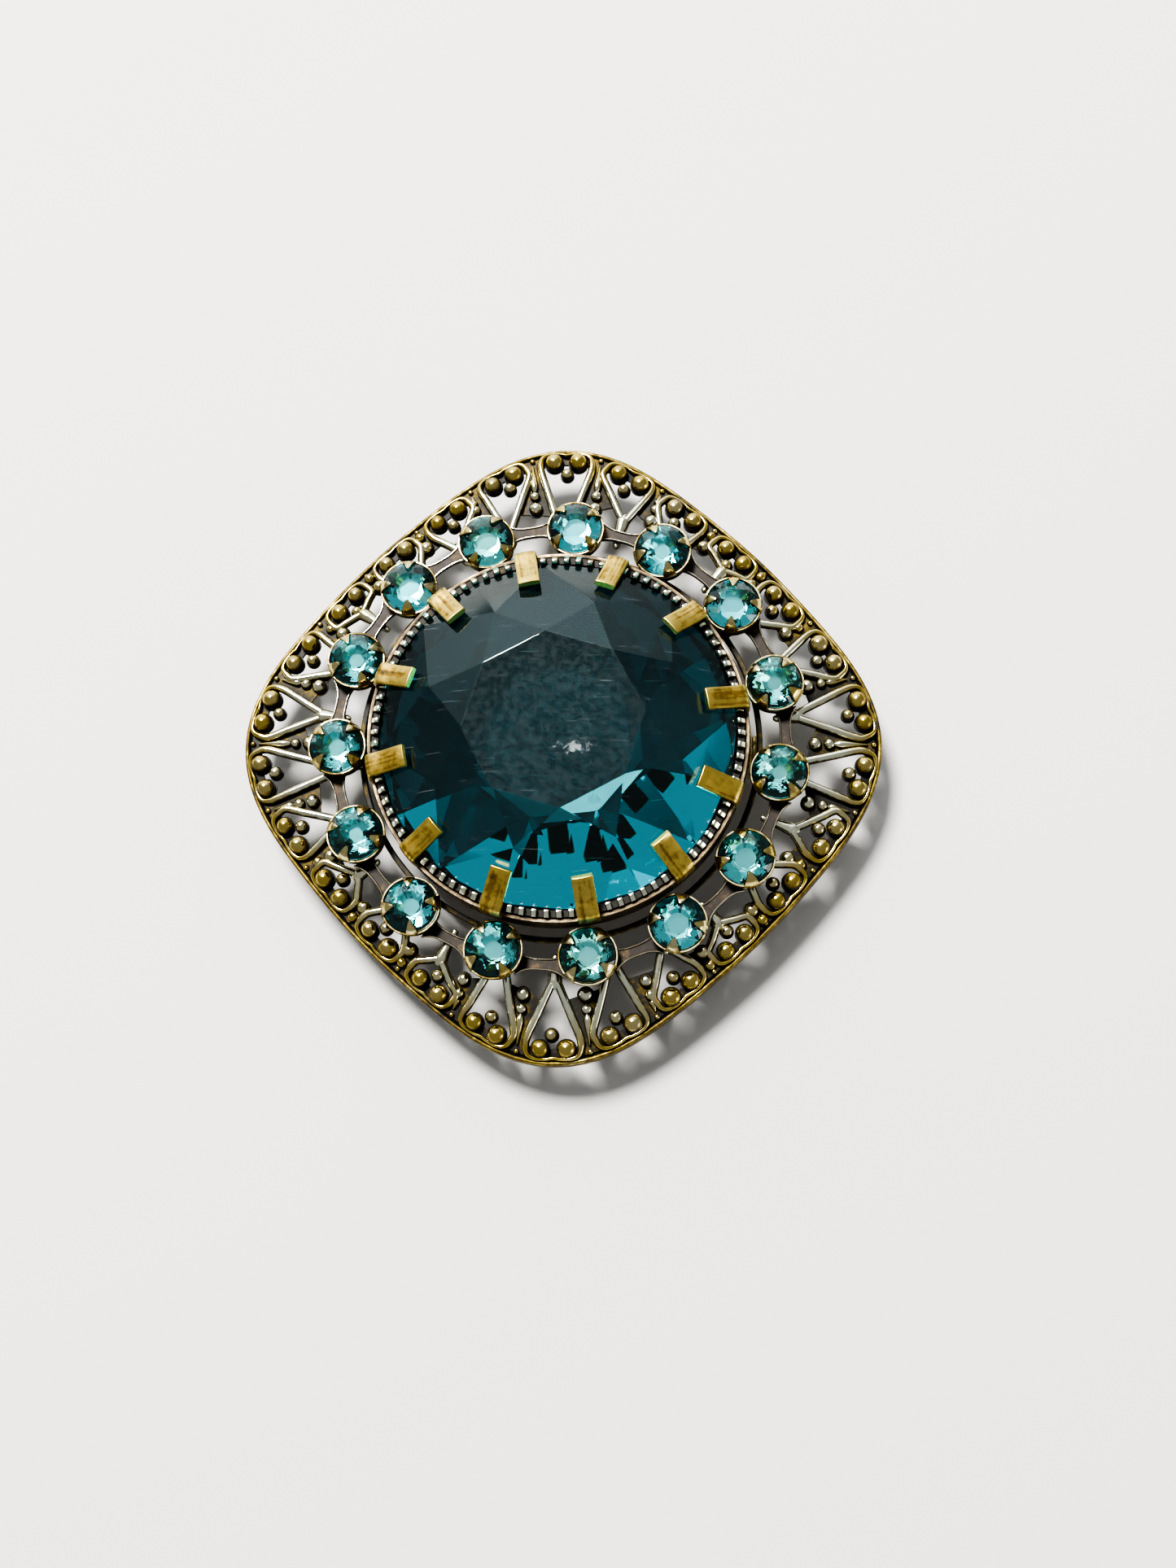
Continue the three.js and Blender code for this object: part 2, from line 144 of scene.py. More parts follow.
class Build:
    """Collects closed shells with two values per vertex: wear_and_painted_light (rubbed bright metal and
    patina, with painted highlight and shade where it follows how a surface faces) and gold.
    """

    def __init__(self):
        self.verts = []
        self.faces = []
        self.wear_and_painted_light = []
        self.gold = []

    def add(self, verts, faces, wear_and_painted_light, gold):
        base = len(self.verts)
        self.verts.extend([tuple(v) for v in verts])
        self.faces.extend([tuple(i + base for i in f) for f in faces])
        count = len(verts)
        self.wear_and_painted_light.extend(list(wear_and_painted_light) if np.ndim(wear_and_painted_light) else [wear_and_painted_light] * count)
        self.gold.extend(list(gold) if np.ndim(gold) else [gold] * count)

    def add_moved(self, shape, place):
        """Add another build, each vertex moved by place(x, y, z)."""
        self.add([place(*v) for v in shape.verts], shape.faces, shape.wear_and_painted_light, shape.gold)

    def make(self, name, material, smooth_angle):
        mesh = bpy.data.meshes.new(name)
        mesh.from_pydata([Vector(v) * MM for v in self.verts], [], self.faces)
        mesh.validate()
        for label, values in (("wear_and_painted_light", self.wear_and_painted_light), ("gold", self.gold)):
            layer = mesh.attributes.new(label, "FLOAT", "POINT")
            layer.data.foreach_set("value", np.array(values, dtype=np.float32))
        mesh.materials.append(material)
        mesh.shade_smooth()
        mesh.set_sharp_from_angle(angle=radians(smooth_angle))
        return new_object(name, mesh)


def ring_faces(rows, count, closed_rows=False):
    """Quads between rows of `count` vertices, each row a closed loop."""
    faces = []
    for i in range(rows if closed_rows else rows - 1):
        n = (i + 1) % rows
        for j in range(count):
            k = (j + 1) % count
            faces.append((i * count + j, i * count + k, n * count + k, n * count + j))
    return faces


def tube_faces(rows, count):
    """Quads between rows, and a face over each end."""
    ends = [tuple(reversed(range(count))), tuple((rows - 1) * count + j for j in range(count))]
    return ring_faces(rows, count) + ends


def smooth_path(points, per_span):
    """Catmull-Rom curve through points."""
    pts = [np.array(p, dtype=float) for p in points]
    last = len(pts) - 1
    out = []
    for i in range(last):
        p0, p1, p2, p3 = pts[max(i - 1, 0)], pts[i], pts[i + 1], pts[min(i + 2, last)]
        for s in range(per_span):
            t = s / per_span
            out.append(0.5 * ((2 * p1) + (p2 - p0) * t + (2 * p0 - 5 * p1 + 4 * p2 - p3) * t ** 2
                              + (3 * p1 - p0 - 3 * p2 + p3) * t ** 3))
    return out + [pts[-1]]


def heading(points, i):
    """Unit direction of a path at one of its points."""
    ahead = points[min(i + 1, len(points) - 1)] - points[max(i - 1, 0)]
    return ahead / np.linalg.norm(ahead)


def relief_rub_and_light(upward):
    """Rubbed bright with a painted highlight on top, black in the crease and painted shade on the sides
    beside it, dull below.
    """
    if upward < 0:
        return 0.34 * -upward
    return min(1.0, max(0.0, -0.42 + 1.5 * upward))


def sweep_flat(build, path, half_width, half_height, gold, sides=12, rub_and_light_gain=1.0):
    """Rounded strand lying in the sheet: elliptical section, upright, with closed ends.
    Widths, heights and gold may be single values or one value per point."""
    pts = [np.array(p, dtype=float) for p in path]
    n = len(pts)
    widths, heights, golds = (np.broadcast_to(np.array(v, dtype=float), (n,))
                              for v in (half_width, half_height, gold))
    up = np.array((0, 0, 1))
    verts, wear_and_painted_light = [], []
    for i, p in enumerate(pts):
        side = np.cross(up, heading(pts, i))
        side = side / np.linalg.norm(side)
        for j in range(sides):
            b = TAU * j / sides
            verts.append(p + side * cos(b) * widths[i] + up * sin(b) * heights[i])
            # painted highlight along the top of the strand and painted shade down its sides, together with
            # rubbing and crease patina
            wear_and_painted_light.append(relief_rub_and_light(sin(b)) * rub_and_light_gain)
    build.add(verts, tube_faces(n, sides), wear_and_painted_light, np.repeat(golds, sides))


def plate(build, outline, z_low, z_high, wear_and_painted_light, gold, top_wear=None):
    """Flat piece from an outline (anticlockwise)."""
    n = len(outline)
    verts = [(x, y, z) for z in (z_low, z_high) for x, y in outline]
    build.add(verts, tube_faces(2, n), [wear_and_painted_light] * n + [wear_and_painted_light if top_wear is None else top_wear] * n, gold)


def revolve(build, profile, segments, wear_and_painted_light, gold, centre=(0, 0)):
    """Solid of revolution about a vertical axis; the profile (r, z) starts and ends on the axis,
    or closes on itself."""
    on_axis = profile[0][0] == 0
    rows = [p for p in profile if p[0] > 0]
    values = [w for p, w in zip(profile, wear_and_painted_light) if p[0] > 0]
    verts, weights = [], []
    for (r, z), w in zip(rows, values):
        for j in range(segments):
            b = TAU * j / segments
            verts.append((centre[0] + r * cos(b), centre[1] + r * sin(b), z))
            weights.append(w)
    faces = ring_faces(len(rows), segments, closed_rows=not on_axis)
    if on_axis:
        first, last = len(verts), len(verts) + 1
        verts.extend([(centre[0], centre[1], profile[0][1]), (centre[0], centre[1], profile[-1][1])])
        weights.extend([wear_and_painted_light[0], wear_and_painted_light[-1]])
        end = (len(rows) - 1) * segments
        for j in range(segments):
            k = (j + 1) % segments
            faces.append((first, k, j))
            faces.append((last, end + j, end + k))
    build.add(verts, faces, weights, gold)


def dome(build, centre, radius, gold, height=1.0, segments=18, rings=10, squash=1.0, turn=0.0):
    """Bead: a rounded knob; squash flattens it across, turn rotates it about Z."""
    polar = [pi * (1 - i / rings) for i in range(1, rings)]
    profile = [(radius * sin(p), radius * height * cos(p)) for p in polar]
    profile = [(0, -radius * height)] + profile + [(0, radius * height)]
    knob = Build()
    # painted highlight on top of the bead and painted shade round its sides, together with rubbing and
    # patina
    revolve(knob, profile, segments, [0.0] + [relief_rub_and_light(cos(p)) for p in polar] + [1.0], gold)
    c, s = around(turn)
    build.add_moved(knob, lambda x, y, z: (*turned_point(x * squash, y, c, s, centre), centre[2] + z))


# ------------------------------------------------------------------ materials

def new_material(name):
    material = bpy.data.materials.new(name)
    material.use_nodes = True
    tree = material.node_tree
    shader = tree.nodes["Principled BSDF"]
    return material, tree, shader


def node(tree, kind, **values):
    made = tree.nodes.new(kind)
    for key, value in values.items():
        if key in made.inputs:
            made.inputs[key].default_value = value
        else:
            setattr(made, key, value)
    return made


def ramp(tree, stops, source, interpolation="EASE"):
    """Grey ramp: each stop is a position and a level."""
    made = tree.nodes.new("ShaderNodeValToRGB")
    made.color_ramp.interpolation = interpolation
    for element, (position, level) in zip(made.color_ramp.elements, stops):
        element.position = position
        element.color = (level, level, level, 1.0)
    tree.links.new(source, made.inputs[0])
    return made.outputs[0]


def math_node(tree, operation, a, b, clamp=False):
    made = tree.nodes.new("ShaderNodeMath")
    made.operation = operation
    made.use_clamp = clamp
    for socket, value in zip(made.inputs, (a, b)):
        if isinstance(value, (int, float)):
            socket.default_value = value
        else:
            tree.links.new(value, socket)
    return made.outputs[0]


def plus(tree, a, b, clamp=False):
    return math_node(tree, "ADD", a, b, clamp)


def times(tree, a, b):
    return math_node(tree, "MULTIPLY", a, b)


def swing(tree, source, reach):
    """Turn a value between 0 and 1 into one between plus and minus half the reach."""
    return times(tree, math_node(tree, "SUBTRACT", source, 0.5), reach)


def mix_color(tree, factor, a, b):
    made = node(tree, "ShaderNodeMix", data_type="RGBA")
    for socket, value in ((made.inputs[0], factor), (made.inputs[6], a), (made.inputs[7], b)):
        if isinstance(value, tuple):
            socket.default_value = (*value, 1.0)
        else:
            tree.links.new(value, socket)
    return made.outputs[2]


def object_coords(tree, **settings):
    """Object coordinates, mapped with the settings of a Mapping node."""
    coords = tree.nodes.new("ShaderNodeTexCoord")
    mapping = node(tree, "ShaderNodeMapping", **settings)
    tree.links.new(coords.outputs["Object"], mapping.inputs[0])
    return mapping.outputs[0]


def noise(tree, scale, detail, roughness, seed=0.0, **settings):
    made = node(tree, "ShaderNodeTexNoise", Scale=scale, Detail=detail, Roughness=roughness)
    settings = settings or {"Location": (seed, seed * 0.7, seed * 0.3)}
    tree.links.new(object_coords(tree, **settings), made.inputs["Vector"])
    return made.outputs["Fac"]


def attribute(tree, name):
    return node(tree, "ShaderNodeAttribute", attribute_name=name).outputs["Fac"]


def antique_metal(name, silver, gold, brown, black, rub=0.0, rough=(0.55, 0.13), seed=0.0):
    """Cast or stamped metal: black in recesses and painted shade on the sides of the relief, brown on
    slopes, rubbed bright with a painted highlight on the relief. rub adds to the wear_and_painted_light
    value all over; rough is the roughness of dirty and of rubbed metal."""
    material, tree, shader = new_material(name)
    patches = noise(tree, 420, 5, 0.62, seed)
    specks = noise(tree, 2600, 3, 0.6, seed + 3)
    worn_and_lit = plus(tree, attribute(tree, "wear_and_painted_light"), swing(tree, patches, 1.1))
    worn_and_lit = plus(tree, plus(tree, worn_and_lit, swing(tree, specks, 0.7)), rub, clamp=True)
    drift = swing(tree, noise(tree, 260, 4, 0.6, seed + 7), 1.3)
    tone = plus(tree, attribute(tree, "gold"), drift, clamp=True)
    # low values give black, patina in recesses and painted shade on relief flanks; high values give the
    # pale colour, rubbed metal and painted highlight
    clear_of_patina_and_shade = ramp(tree, [(0.12, 0), (0.45, 1)], worn_and_lit)
    polished_and_highlit = ramp(tree, [(0.38, 0), (0.85, 1)], worn_and_lit)
    bright = mix_color(tree, tone, silver, gold)
    brownish = mix_color(tree, tone, tuple(0.8 * c for c in brown), brown)
    color = mix_color(tree, polished_and_highlit, mix_color(tree, clear_of_patina_and_shade, black, brownish), bright)
    tree.links.new(color, shader.inputs["Base Color"])
    metal = plus(tree, times(tree, clear_of_patina_and_shade, 0.45), 0.55, clamp=True)
    tree.links.new(metal, shader.inputs["Metallic"])
    dirty, rubbed = rough
    gloss = plus(tree, times(tree, polished_and_highlit, rubbed - dirty), dirty)
    gloss = plus(tree, gloss, swing(tree, specks, 0.25), clamp=True)
    tree.links.new(gloss, shader.inputs["Roughness"])
    bump = node(tree, "ShaderNodeBump", Strength=0.35, Distance=0.00003)
    tree.links.new(plus(tree, patches, times(tree, specks, 0.5)), bump.inputs["Height"])
    tree.links.new(bump.outputs[0], shader.inputs["Normal"])
    return material


# SILVER is the pale colour of rubbed tops, partly a painted highlight; BLACK is patina and painted shade
SILVER = (0.86, 0.88, 0.70)
GOLD = (0.58, 0.44, 0.11)
BROWN = (0.12, 0.085, 0.02)
BLACK = (0.006, 0.005, 0.003)

antique_brass = antique_metal("antique_brass", SILVER, GOLD, BROWN, BLACK)
dark_brass = antique_metal("dark_brass", (0.62, 0.59, 0.48), (0.42, 0.33, 0.16), (0.12, 0.085, 0.05),
                           (0.016, 0.012, 0.009), rub=-0.06, seed=11.0)
prong_brass = antique_metal("prong_brass", (0.66, 0.52, 0.17), (0.57, 0.42, 0.10),
                            (0.20, 0.125, 0.025), (0.03, 0.02, 0.006), rough=(0.5, 0.31), seed=23.0)
pin_metal = antique_metal("pin_steel", (0.62, 0.61, 0.58), (0.55, 0.50, 0.40), (0.2, 0.18, 0.15),
                          (0.05, 0.045, 0.04), rough=(0.4, 0.22), seed=31.0)
fitting_brass = antique_metal("fitting_brass", SILVER, GOLD, BROWN, BLACK, rough=(0.5, 0.28), seed=41.0)


def scratch_mask(tree, turn, length, width, share, seed):
    """Fine straight scratches in one direction: 1 on a scratch, 0 beside it."""
    stretched = noise(tree, 1.0, 2.0, 0.5, Location=(seed, seed, seed),
                      Rotation=(0, 0, radians(turn)), Scale=(1 / length, 1 / width, 1 / length))
    return ramp(tree, [(1 - share, 0), (1.02 - share, 1)], stretched, "LINEAR")


def chipped_spot(tree, place):
    """A small ragged bruise on the glass at a place in millimetres, longer along X."""
    local = object_coords(tree, vector_type="TEXTURE", Location=Vector(place) * MM,
                          Scale=(2.3 * MM, 1.0 * MM, 1.0 * MM))
    away = node(tree, "ShaderNodeVectorMath", operation="LENGTH")
    tree.links.new(local, away.inputs[0])
    near = math_node(tree, "SUBTRACT", 1.0, away.outputs["Value"], clamp=True)
    ragged = plus(tree, times(tree, near, 0.30), noise(tree, 2300, 6, 0.75, 3.0))
    crumbs = ramp(tree, [(0.64, 0), (0.8, 0.7)], ragged)
    return times(tree, crumbs, math_node(tree, "MINIMUM", 1.0, times(tree, near, 4.0)))


def table_bloom(tree, level):
    """Cloudy fine rubbing from use on everything above a height in millimetres: 0 to 1."""
    coords = tree.nodes.new("ShaderNodeTexCoord")
    split = tree.nodes.new("ShaderNodeSeparateXYZ")
    tree.links.new(coords.outputs["Object"], split.inputs[0])
    on_table = math_node(tree, "GREATER_THAN", split.outputs["Z"], level * MM)
    return times(tree, on_table, ramp(tree, [(0.40, 0.15), (0.62, 1)], noise(tree, 2200, 6, 0.7, 6.0)))


def glass(name, color, ior, density, tint, sheen=(1.0, 1.0, 1.0), bruise=None):
    """Clear cut glass with colour through its depth, finely scratched by use. sheen tints its
    reflections; bruise is a place on the table, which then also gets a cloudy bloom."""
    material, tree, shader = new_material(name)
    shader.inputs["Specular Tint"].default_value = (*sheen, 1.0)
    shader.inputs["IOR"].default_value = ior
    pale = tuple(min(1.0, c + 0.06) for c in tint)
    tree.links.new(mix_color(tree, noise(tree, 120, 3, 0.5, 4.0), tint, pale), shader.inputs["Base Color"])
    lines = math_node(tree, "MAXIMUM", scratch_mask(tree, 63, 0.004, 0.00008, 0.28, 5.0),
                      scratch_mask(tree, -35, 0.003, 0.00006, 0.26, 8.0))
    marks = times(tree, lines, 0.26)
    if bruise:
        marks = plus(tree, marks, times(tree, table_bloom(tree, bruise[2] - 0.03), 0.045))
        marks = math_node(tree, "MAXIMUM", marks, times(tree, chipped_spot(tree, bruise), 0.75))
    tree.links.new(times(tree, marks, 0.3), shader.inputs["Roughness"])
    clear = math_node(tree, "SUBTRACT", 1.0, times(tree, marks, 0.35))
    tree.links.new(clear, shader.inputs["Transmission Weight"])
    absorb = node(tree, "ShaderNodeVolumeAbsorption", Color=(*color, 1.0), Density=density)
    tree.links.new(absorb.outputs[0], tree.nodes["Material Output"].inputs["Volume"])
    return material


teal_glass = glass("teal_glass", (0.0, 0.90, 0.985), 1.62, 112.0, (0.88, 0.94, 0.94),
                   sheen=(0.68, 0.84, 0.84), bruise=(1.6, -2.0, STONE_HIGH[2]))
aqua_glass = [glass("aqua_glass", (0.0, 0.95, 0.965), 1.56, 420.0, (0.93, 0.94, 0.94)),
              glass("aqua_glass_green", (0.0, 0.96, 0.95), 1.56, 370.0, (0.93, 0.94, 0.93)),
              glass("aqua_glass_blue", (0.0, 0.94, 0.98), 1.56, 450.0, (0.93, 0.94, 0.94))]


def mottled(name, scale, seed, dark, pale, settings):
    """A surface whose colour wanders between two tones."""
    material, tree, shader = new_material(name)
    patches = noise(tree, scale, 4, 0.6, seed)
    tree.links.new(mix_color(tree, patches, dark, pale), shader.inputs["Base Color"])
    for socket, value in settings.items():
        shader.inputs[socket].default_value = value
    return material


foil = mottled("foil", 1800, 2.0, (0.88, 0.92, 0.92), (0.97, 1.0, 1.0),
               {"Metallic": 1.0, "Roughness": 0.2})
# painted shade: near-black, barely glossy lining that stands for the dark hollow under the centre stone
painted_shade_lining = mottled("painted_shade_lining", 300, 9.0, (0.003, 0.006, 0.008), (0.008, 0.014, 0.018),
                  {"Roughness": 0.7, "Specular IOR Level": 0.15})


# ------------------------------------------------------------------ filigree frame

def rim_tone(x, y):
    """Gold at the rim, paler towards the stones."""
    inset = rim_radius(atan2(y, x)) - hypot(x, y)
    return min(1.0, max(0.08, 1.2 - 0.33 * inset))


def u_strand(p, t, n, apex):
    """Centre line and half widths of the strand round one window: out along one leg, round
    under the rim and back. p, t and n are a point of the bead line, its tangent and normal."""
    half, rise = 1.90, 0.70
    bend = [(-1.0, -0.1), (-0.9, 0.42), (-0.62, 0.64), (-0.28, 0.67)]
    bend += [(0.0, 0.6)] + [(-u, v) for u, v in reversed(bend)]
    widths = [0.30, 0.30, 0.30, 0.29, 0.26, 0.19, 0.14, 0.12]

    def leg(side):
        start = apex + t * side * 0.24
        end = p + t * side * half * 0.97 - n * 0.75
        return [start + (end - start) * s for s in (0, 0.3, 0.65, 1)]

    middle = [p + t * half * u + n * v * rise / 0.67 for u, v in bend]
    return leg(-1) + middle + leg(1)[::-1], widths + [0.13] + widths[::-1]


def strand(build, points, widths, lift, aspect=0.85, per_span=5, rub_and_light_gain=1.0):
    """Sweep a smooth strand that follows the sheet's height; returns its centre line."""
    curve = smooth_path([(*q, w) for q, w in zip(points, widths)], per_span)
    path = [(x, y, sheet_z(x, y) + lift) for x, y, _ in curve]
    half = [w for _, _, w in curve]
    tone = [rim_tone(x, y) for x, y, _ in curve]
    sweep_flat(build, path, half, [0.1 + aspect * h for h in half], tone, rub_and_light_gain=rub_and_light_gain)
    return [q[:2] for q in curve]


def bead(build, c, radius, lift, segments=18, rings=10):
    """A bead and the round foot that it stands on."""
    z = sheet_z(*c)
    dome(build, (*c, z + lift), radius, min(1.0, rim_tone(*c) + 0.1), height=0.92,
         segments=segments, rings=rings, squash=rng.uniform(0.94, 1.0), turn=rng.uniform(0, TAU))
    foot = [c + around(b, radius + 0.06) for b in np.linspace(0, TAU, segments, endpoint=False)]
    plate(build, foot, z - 0.36, z - 0.1, 0.02, 0.5)


def apex_radius(turn):
    """Windows that face a small stone run under it; those that face a gap close further out."""
    pitch = TAU / CHATONS
    from_stone = turn - place_on_ring("01")[3]
    away = abs((from_stone + pitch / 2) % pitch - pitch / 2) / (pitch / 2)
    return 15.9 + 1.8 * min(1.0, max(0.0, (away - 0.25) / 0.6))


def frame_rim(build):
    """Outer wall, lip, groove and shelf, swept round the outline."""
    top = RIM_TOP
    section = [
        (0.07, RIM_Z, 0.2), (0.0, RIM_Z + 0.07, 0.42), (0.0, top - 0.3, 0.28), (0.01, top - 0.1, 0.34),
        (0.06, top - 0.02, 0.5), (0.17, top + 0.02, 0.44), (0.27, top - 0.02, 0.34),
        (0.32, top - 0.14, 0.0), (0.38, top - 0.2, 0.0), (0.46, top - 0.13, 0.0),
        (0.66, top - 0.09, 0.05), (1.18, top - 0.07, 0.05), (1.2, top - 0.3, 0.0),
        (0.66, top - 0.36, 0.1), (0.46, top - 0.46, 0.2), (0.4, RIM_Z + 0.07, 0.4),
        (0.33, RIM_Z, 0.5),
    ]
    steps = 416
    verts, wear_and_painted_light = [], []
    for i in range(steps):
        for inset, z, w in section:
            verts.append((*rim_point(TAU * i / steps, inset)[0], z))
            wear_and_painted_light.append(w)
    build.add(verts, ring_faces(steps, len(section), closed_rows=True), wear_and_painted_light, 0.95)


def window(build, a):
    """Strand, stem and beads of one window; returns the strand's centre line."""
    turn = a + rng.uniform(-0.006, 0.006)
    p, t, n = rim_point(a, BEAD_INSET)
    apex_r = apex_radius(turn) + rng.uniform(-0.1, 0.1)
    points, widths = u_strand(p, t, n, around(turn, apex_r))
    line = strand(build, points, widths, 0.07)

    # stem from the apex to the inner band, with a rounded blunt end
    stem_r = [apex_r + 0.35, apex_r, apex_r - 0.5, apex_r - 1.1]
    wide = [0.22, 0.5, 0.48, 0.38]
    if apex_r > 16.6:
        stem_r += [15.4, 15.2]
        wide += [0.26, 0.1]
    else:
        arm = [around(turn, r) for r in (apex_r - 0.6, 15.0, 14.6, 14.15)]
        strand(build, arm, [0.3, 0.26, 0.24, 0.24], -0.1, aspect=0.5, rub_and_light_gain=0.6)
    strand(build, [around(turn, r) for r in stem_r], wide, 0.05, aspect=0.55)

    for side, inset, radius in ((-BEAD_HALF_PITCH, 0, BEAD_R), (BEAD_HALF_PITCH, 0, BEAD_R),
                                (rng.uniform(-0.12, 0.12), 0.93, SMALL_BEAD_R)):
        c = p + t * (side + rng.uniform(-0.05, 0.05)) - n * (inset + rng.uniform(-0.04, 0.04))
        bead(build, c, radius * rng.uniform(0.95, 1.05), 0.12)
    return line


def panel(build, line, next_line):
    """Dished sheet between two windows, from the rim to its inner end."""
    half = len(line) // 2
    right = line[half:]
    left = next_line[:half + 1][::-1]
    rows = []
    for i in np.linspace(0, half, 30):
        q_a, q_b = right[int(i)], left[int(i)]
        if min(np.linalg.norm(q_a), np.linalg.norm(q_b)) < PANEL_R:
            break
        rows.append((q_a, q_b))
    across = 9
    verts, wear_and_painted_light = [], []
    for offset, w in ((-0.13, 0.16), (-0.4, 0.3)):
        for q_a, q_b in rows:
            for s in np.linspace(0, 1, across):
                q = q_a + (q_b - q_a) * s
                verts.append((*q, sheet_z(*q) + offset + 0.05 * sin(pi * s)))
                wear_and_painted_light.append(w)
    count = len(rows)
    layer = count * across
    faces = []
    for i in range(count - 1):
        for j in range(across - 1):
            a = i * across + j
            b = layer + a
            faces += [(a, a + across, a + across + 1, a + 1), (b, b + 1, b + across + 1, b + across)]
    edge = list(range(across))
    edge += [i * across + across - 1 for i in range(1, count)]
    edge += [(count - 1) * across + j for j in reversed(range(across - 1))]
    edge += [i * across for i in reversed(range(1, count - 1))]
    faces += [(a, b, layer + b, layer + a) for a, b in zip(edge, edge[1:] + edge[:1])]
    build.add(verts, faces, wear_and_painted_light, 0.4)


def panel_relief(build, a):
    """On a panel, from its inner end: two beads, a stick and a pip at the rim."""
    outer, _, n = rim_point(a, 0.62)
    along = around(a, PANEL_R) - outer
    length = np.linalg.norm(along)
    along = along / length
    pip = outer + n * 0.02
    dome(build, (*pip, sheet_z(*pip)), 0.2, 0.9, segments=12, rings=6)
    bead(build, outer + along * (length - 0.72), 0.53 * rng.uniform(0.92, 1.05), 0.0, 16, 8)
    bead(build, outer + along * (length - 1.72), 0.41 * rng.uniform(0.92, 1.05), 0.02, 14, 8)
    stick_from, stick_to = 0.4, length - 2.1
    if stick_to - stick_from > 0.35:
        stick = [outer + along * (stick_from + (stick_to - stick_from) * u) for u in (0, 0.4, 0.8, 1)]
        strand(build, stick, [0.07, 0.2, 0.3, 0.16], -0.02, per_span=4)


def filigree():
    build = Build()
    frame_rim(build)
    angles = equal_length_angles(WINDOWS)
    lines = [window(build, a) for a in angles]
    ends = np.append(angles, angles[0] + TAU)
    for k in range(WINDOWS):
        panel(build, lines[k], lines[(k + 1) % WINDOWS])
        panel_relief(build, (ends[k] + ends[k + 1]) / 2)

    # inner band under the bezel's skirt
    low, high = SHEET_TOP - 0.4, SHEET_TOP
    revolve(build, [(14.0, low), (14.3, low), (14.38, low + 0.08), (14.38, high - 0.1), (14.3, high),
                    (14.05, high), (13.98, high - 0.1), (13.96, low + 0.08)], 180,
            [0.1, 0.1, 0.3, 0.3, 0.2, 0.1, 0.2, 0.2], 0.4)
    return build.make("filigree", antique_brass, 50)


# ------------------------------------------------------------------ chaton ring

def place_on_ring(number):
    """Place, foot height and azimuth of a small stone's cup."""
    low, high = box_mm(f"chaton_cup_{number}")
    x, y, _ = (low + high) / 2
    return x, y, low[2], atan2(y, x)


def ring_plate():
    """A disc under each cup and a waisted bar with raised edges between neighbours."""
    build = Build()
    z0, z1 = PLATE_LOW[2], PLATE_HIGH[2]
    places = [place_on_ring(f"{k:02d}") for k in range(1, CHATONS + 1)]
    bar_r = hypot(*places[0][:2]) + 0.28
    waist = [(s * 1.75, 0.4 + 0.5 * abs(s) ** 3) for s in np.linspace(-1, 1, 15)]
    for x, y, _, _ in places:
        revolve(build, [(0, z0), (1.85, z0), (1.92, z0 + 0.06), (1.92, z1 - 0.06), (1.85, z1), (0, z1)],
                36, [0.1, 0.1, 0.3, 0.5, 0.1, 0.0], 0.4, centre=(x, y))
    for _, _, _, azimuth in places:
        out = around(azimuth + pi / CHATONS)
        across = np.array([-out[1], out[0]])
        outline = [out * (bar_r + h * 0.9) + across * u for u, h in waist]
        outline += [out * (bar_r - h) + across * u for u, h in reversed(waist)]
        plate(build, outline, z0 + 0.02, z1 - 0.02, 0.1, 0.3, top_wear=0.2)
        for side in (-1, 1):
            line = [out * (bar_r + side * (h - 0.06)) + across * u for u, h in waist]
            sweep_flat(build, [(*q, z1 - 0.03) for q in line], 0.08, 0.12, 0.2, sides=10)
    return build.make("ring_plate", dark_brass, 40)


def claw_strip(build, turn, centre, z_rim, cup_r, tip_r, height, lean):
    """One pointed claw: rises from the cup's rim and bends in over the stone."""
    c, s = around(turn)
    steps = 9
    verts, wear_and_painted_light = [], []
    for i in range(steps):
        u = i / (steps - 1)
        r = cup_r - (cup_r - tip_r) * (u ** 1.7) - 0.02
        z = z_rim - 0.25 + (height + 0.25) * (1 - (1 - u) ** 1.5)
        half = (0.52 * (1 - u) ** 0.75 + 0.06) * (1 + lean)
        thick = 0.15 - 0.06 * u
        dr, dz = cos(0.2 + u) * thick, sin(0.2 + u) * thick
        for y, x, up, w in ((half, r - dr, z - dz, 0.2), (half * 0.92, r, z, 0.8),
                            (0, r + 0.05, z + 0.03, 1.0), (-half * 0.92, r, z, 0.8),
                            (-half, r - dr, z - dz, 0.2), (0, r - dr * 1.05, z - dz * 1.05, 0.1)):
            verts.append((*turned_point(x, y, c, s, centre), up))
            wear_and_painted_light.append(w * (0.65 + 0.35 * u))
    build.add(verts, tube_faces(steps, 6), wear_and_painted_light, 0.75)


def chaton_cup(number):
    """Cup with four claws, half-way between the directions along and across the ring."""
    x, y, z, a = place_on_ring(number)
    build = Build()
    cup_r, floor_r, height = 2.08, 1.35, 1.05
    profile = [(0, z), (floor_r, z), (floor_r + 0.08, z + 0.05), (cup_r - 0.12, z + 0.62 * height),
               (cup_r, z + 0.74 * height), (cup_r, z + height - 0.05), (cup_r - 0.04, z + height),
               (cup_r - 0.11, z + height), (cup_r - 0.15, z + height - 0.06),
               (cup_r - 0.15, z + 0.72 * height), (floor_r - 0.1, z + 0.16), (0, z + 0.16)]
    wear_and_painted_light = [0.1, 0.2, 0.3, 0.15, 0.35, 0.4, 0.55, 0.55, 0.3, 0.1, 0.0, 0.0]
    revolve(build, profile, 40, wear_and_painted_light, 0.5, centre=(x, y))
    for quarter in range(4):
        turn = a + pi / 4 + quarter * pi / 2 + rng.uniform(-0.08, 0.08)
        claw_strip(build, turn, (x, y), z + height, cup_r, 1.18 + rng.uniform(-0.06, 0.1), 0.74,
                   rng.uniform(-0.12, 0.12))
    return build.make(f"cup_{number}", antique_brass, 45)


# ------------------------------------------------------------------ cut stones

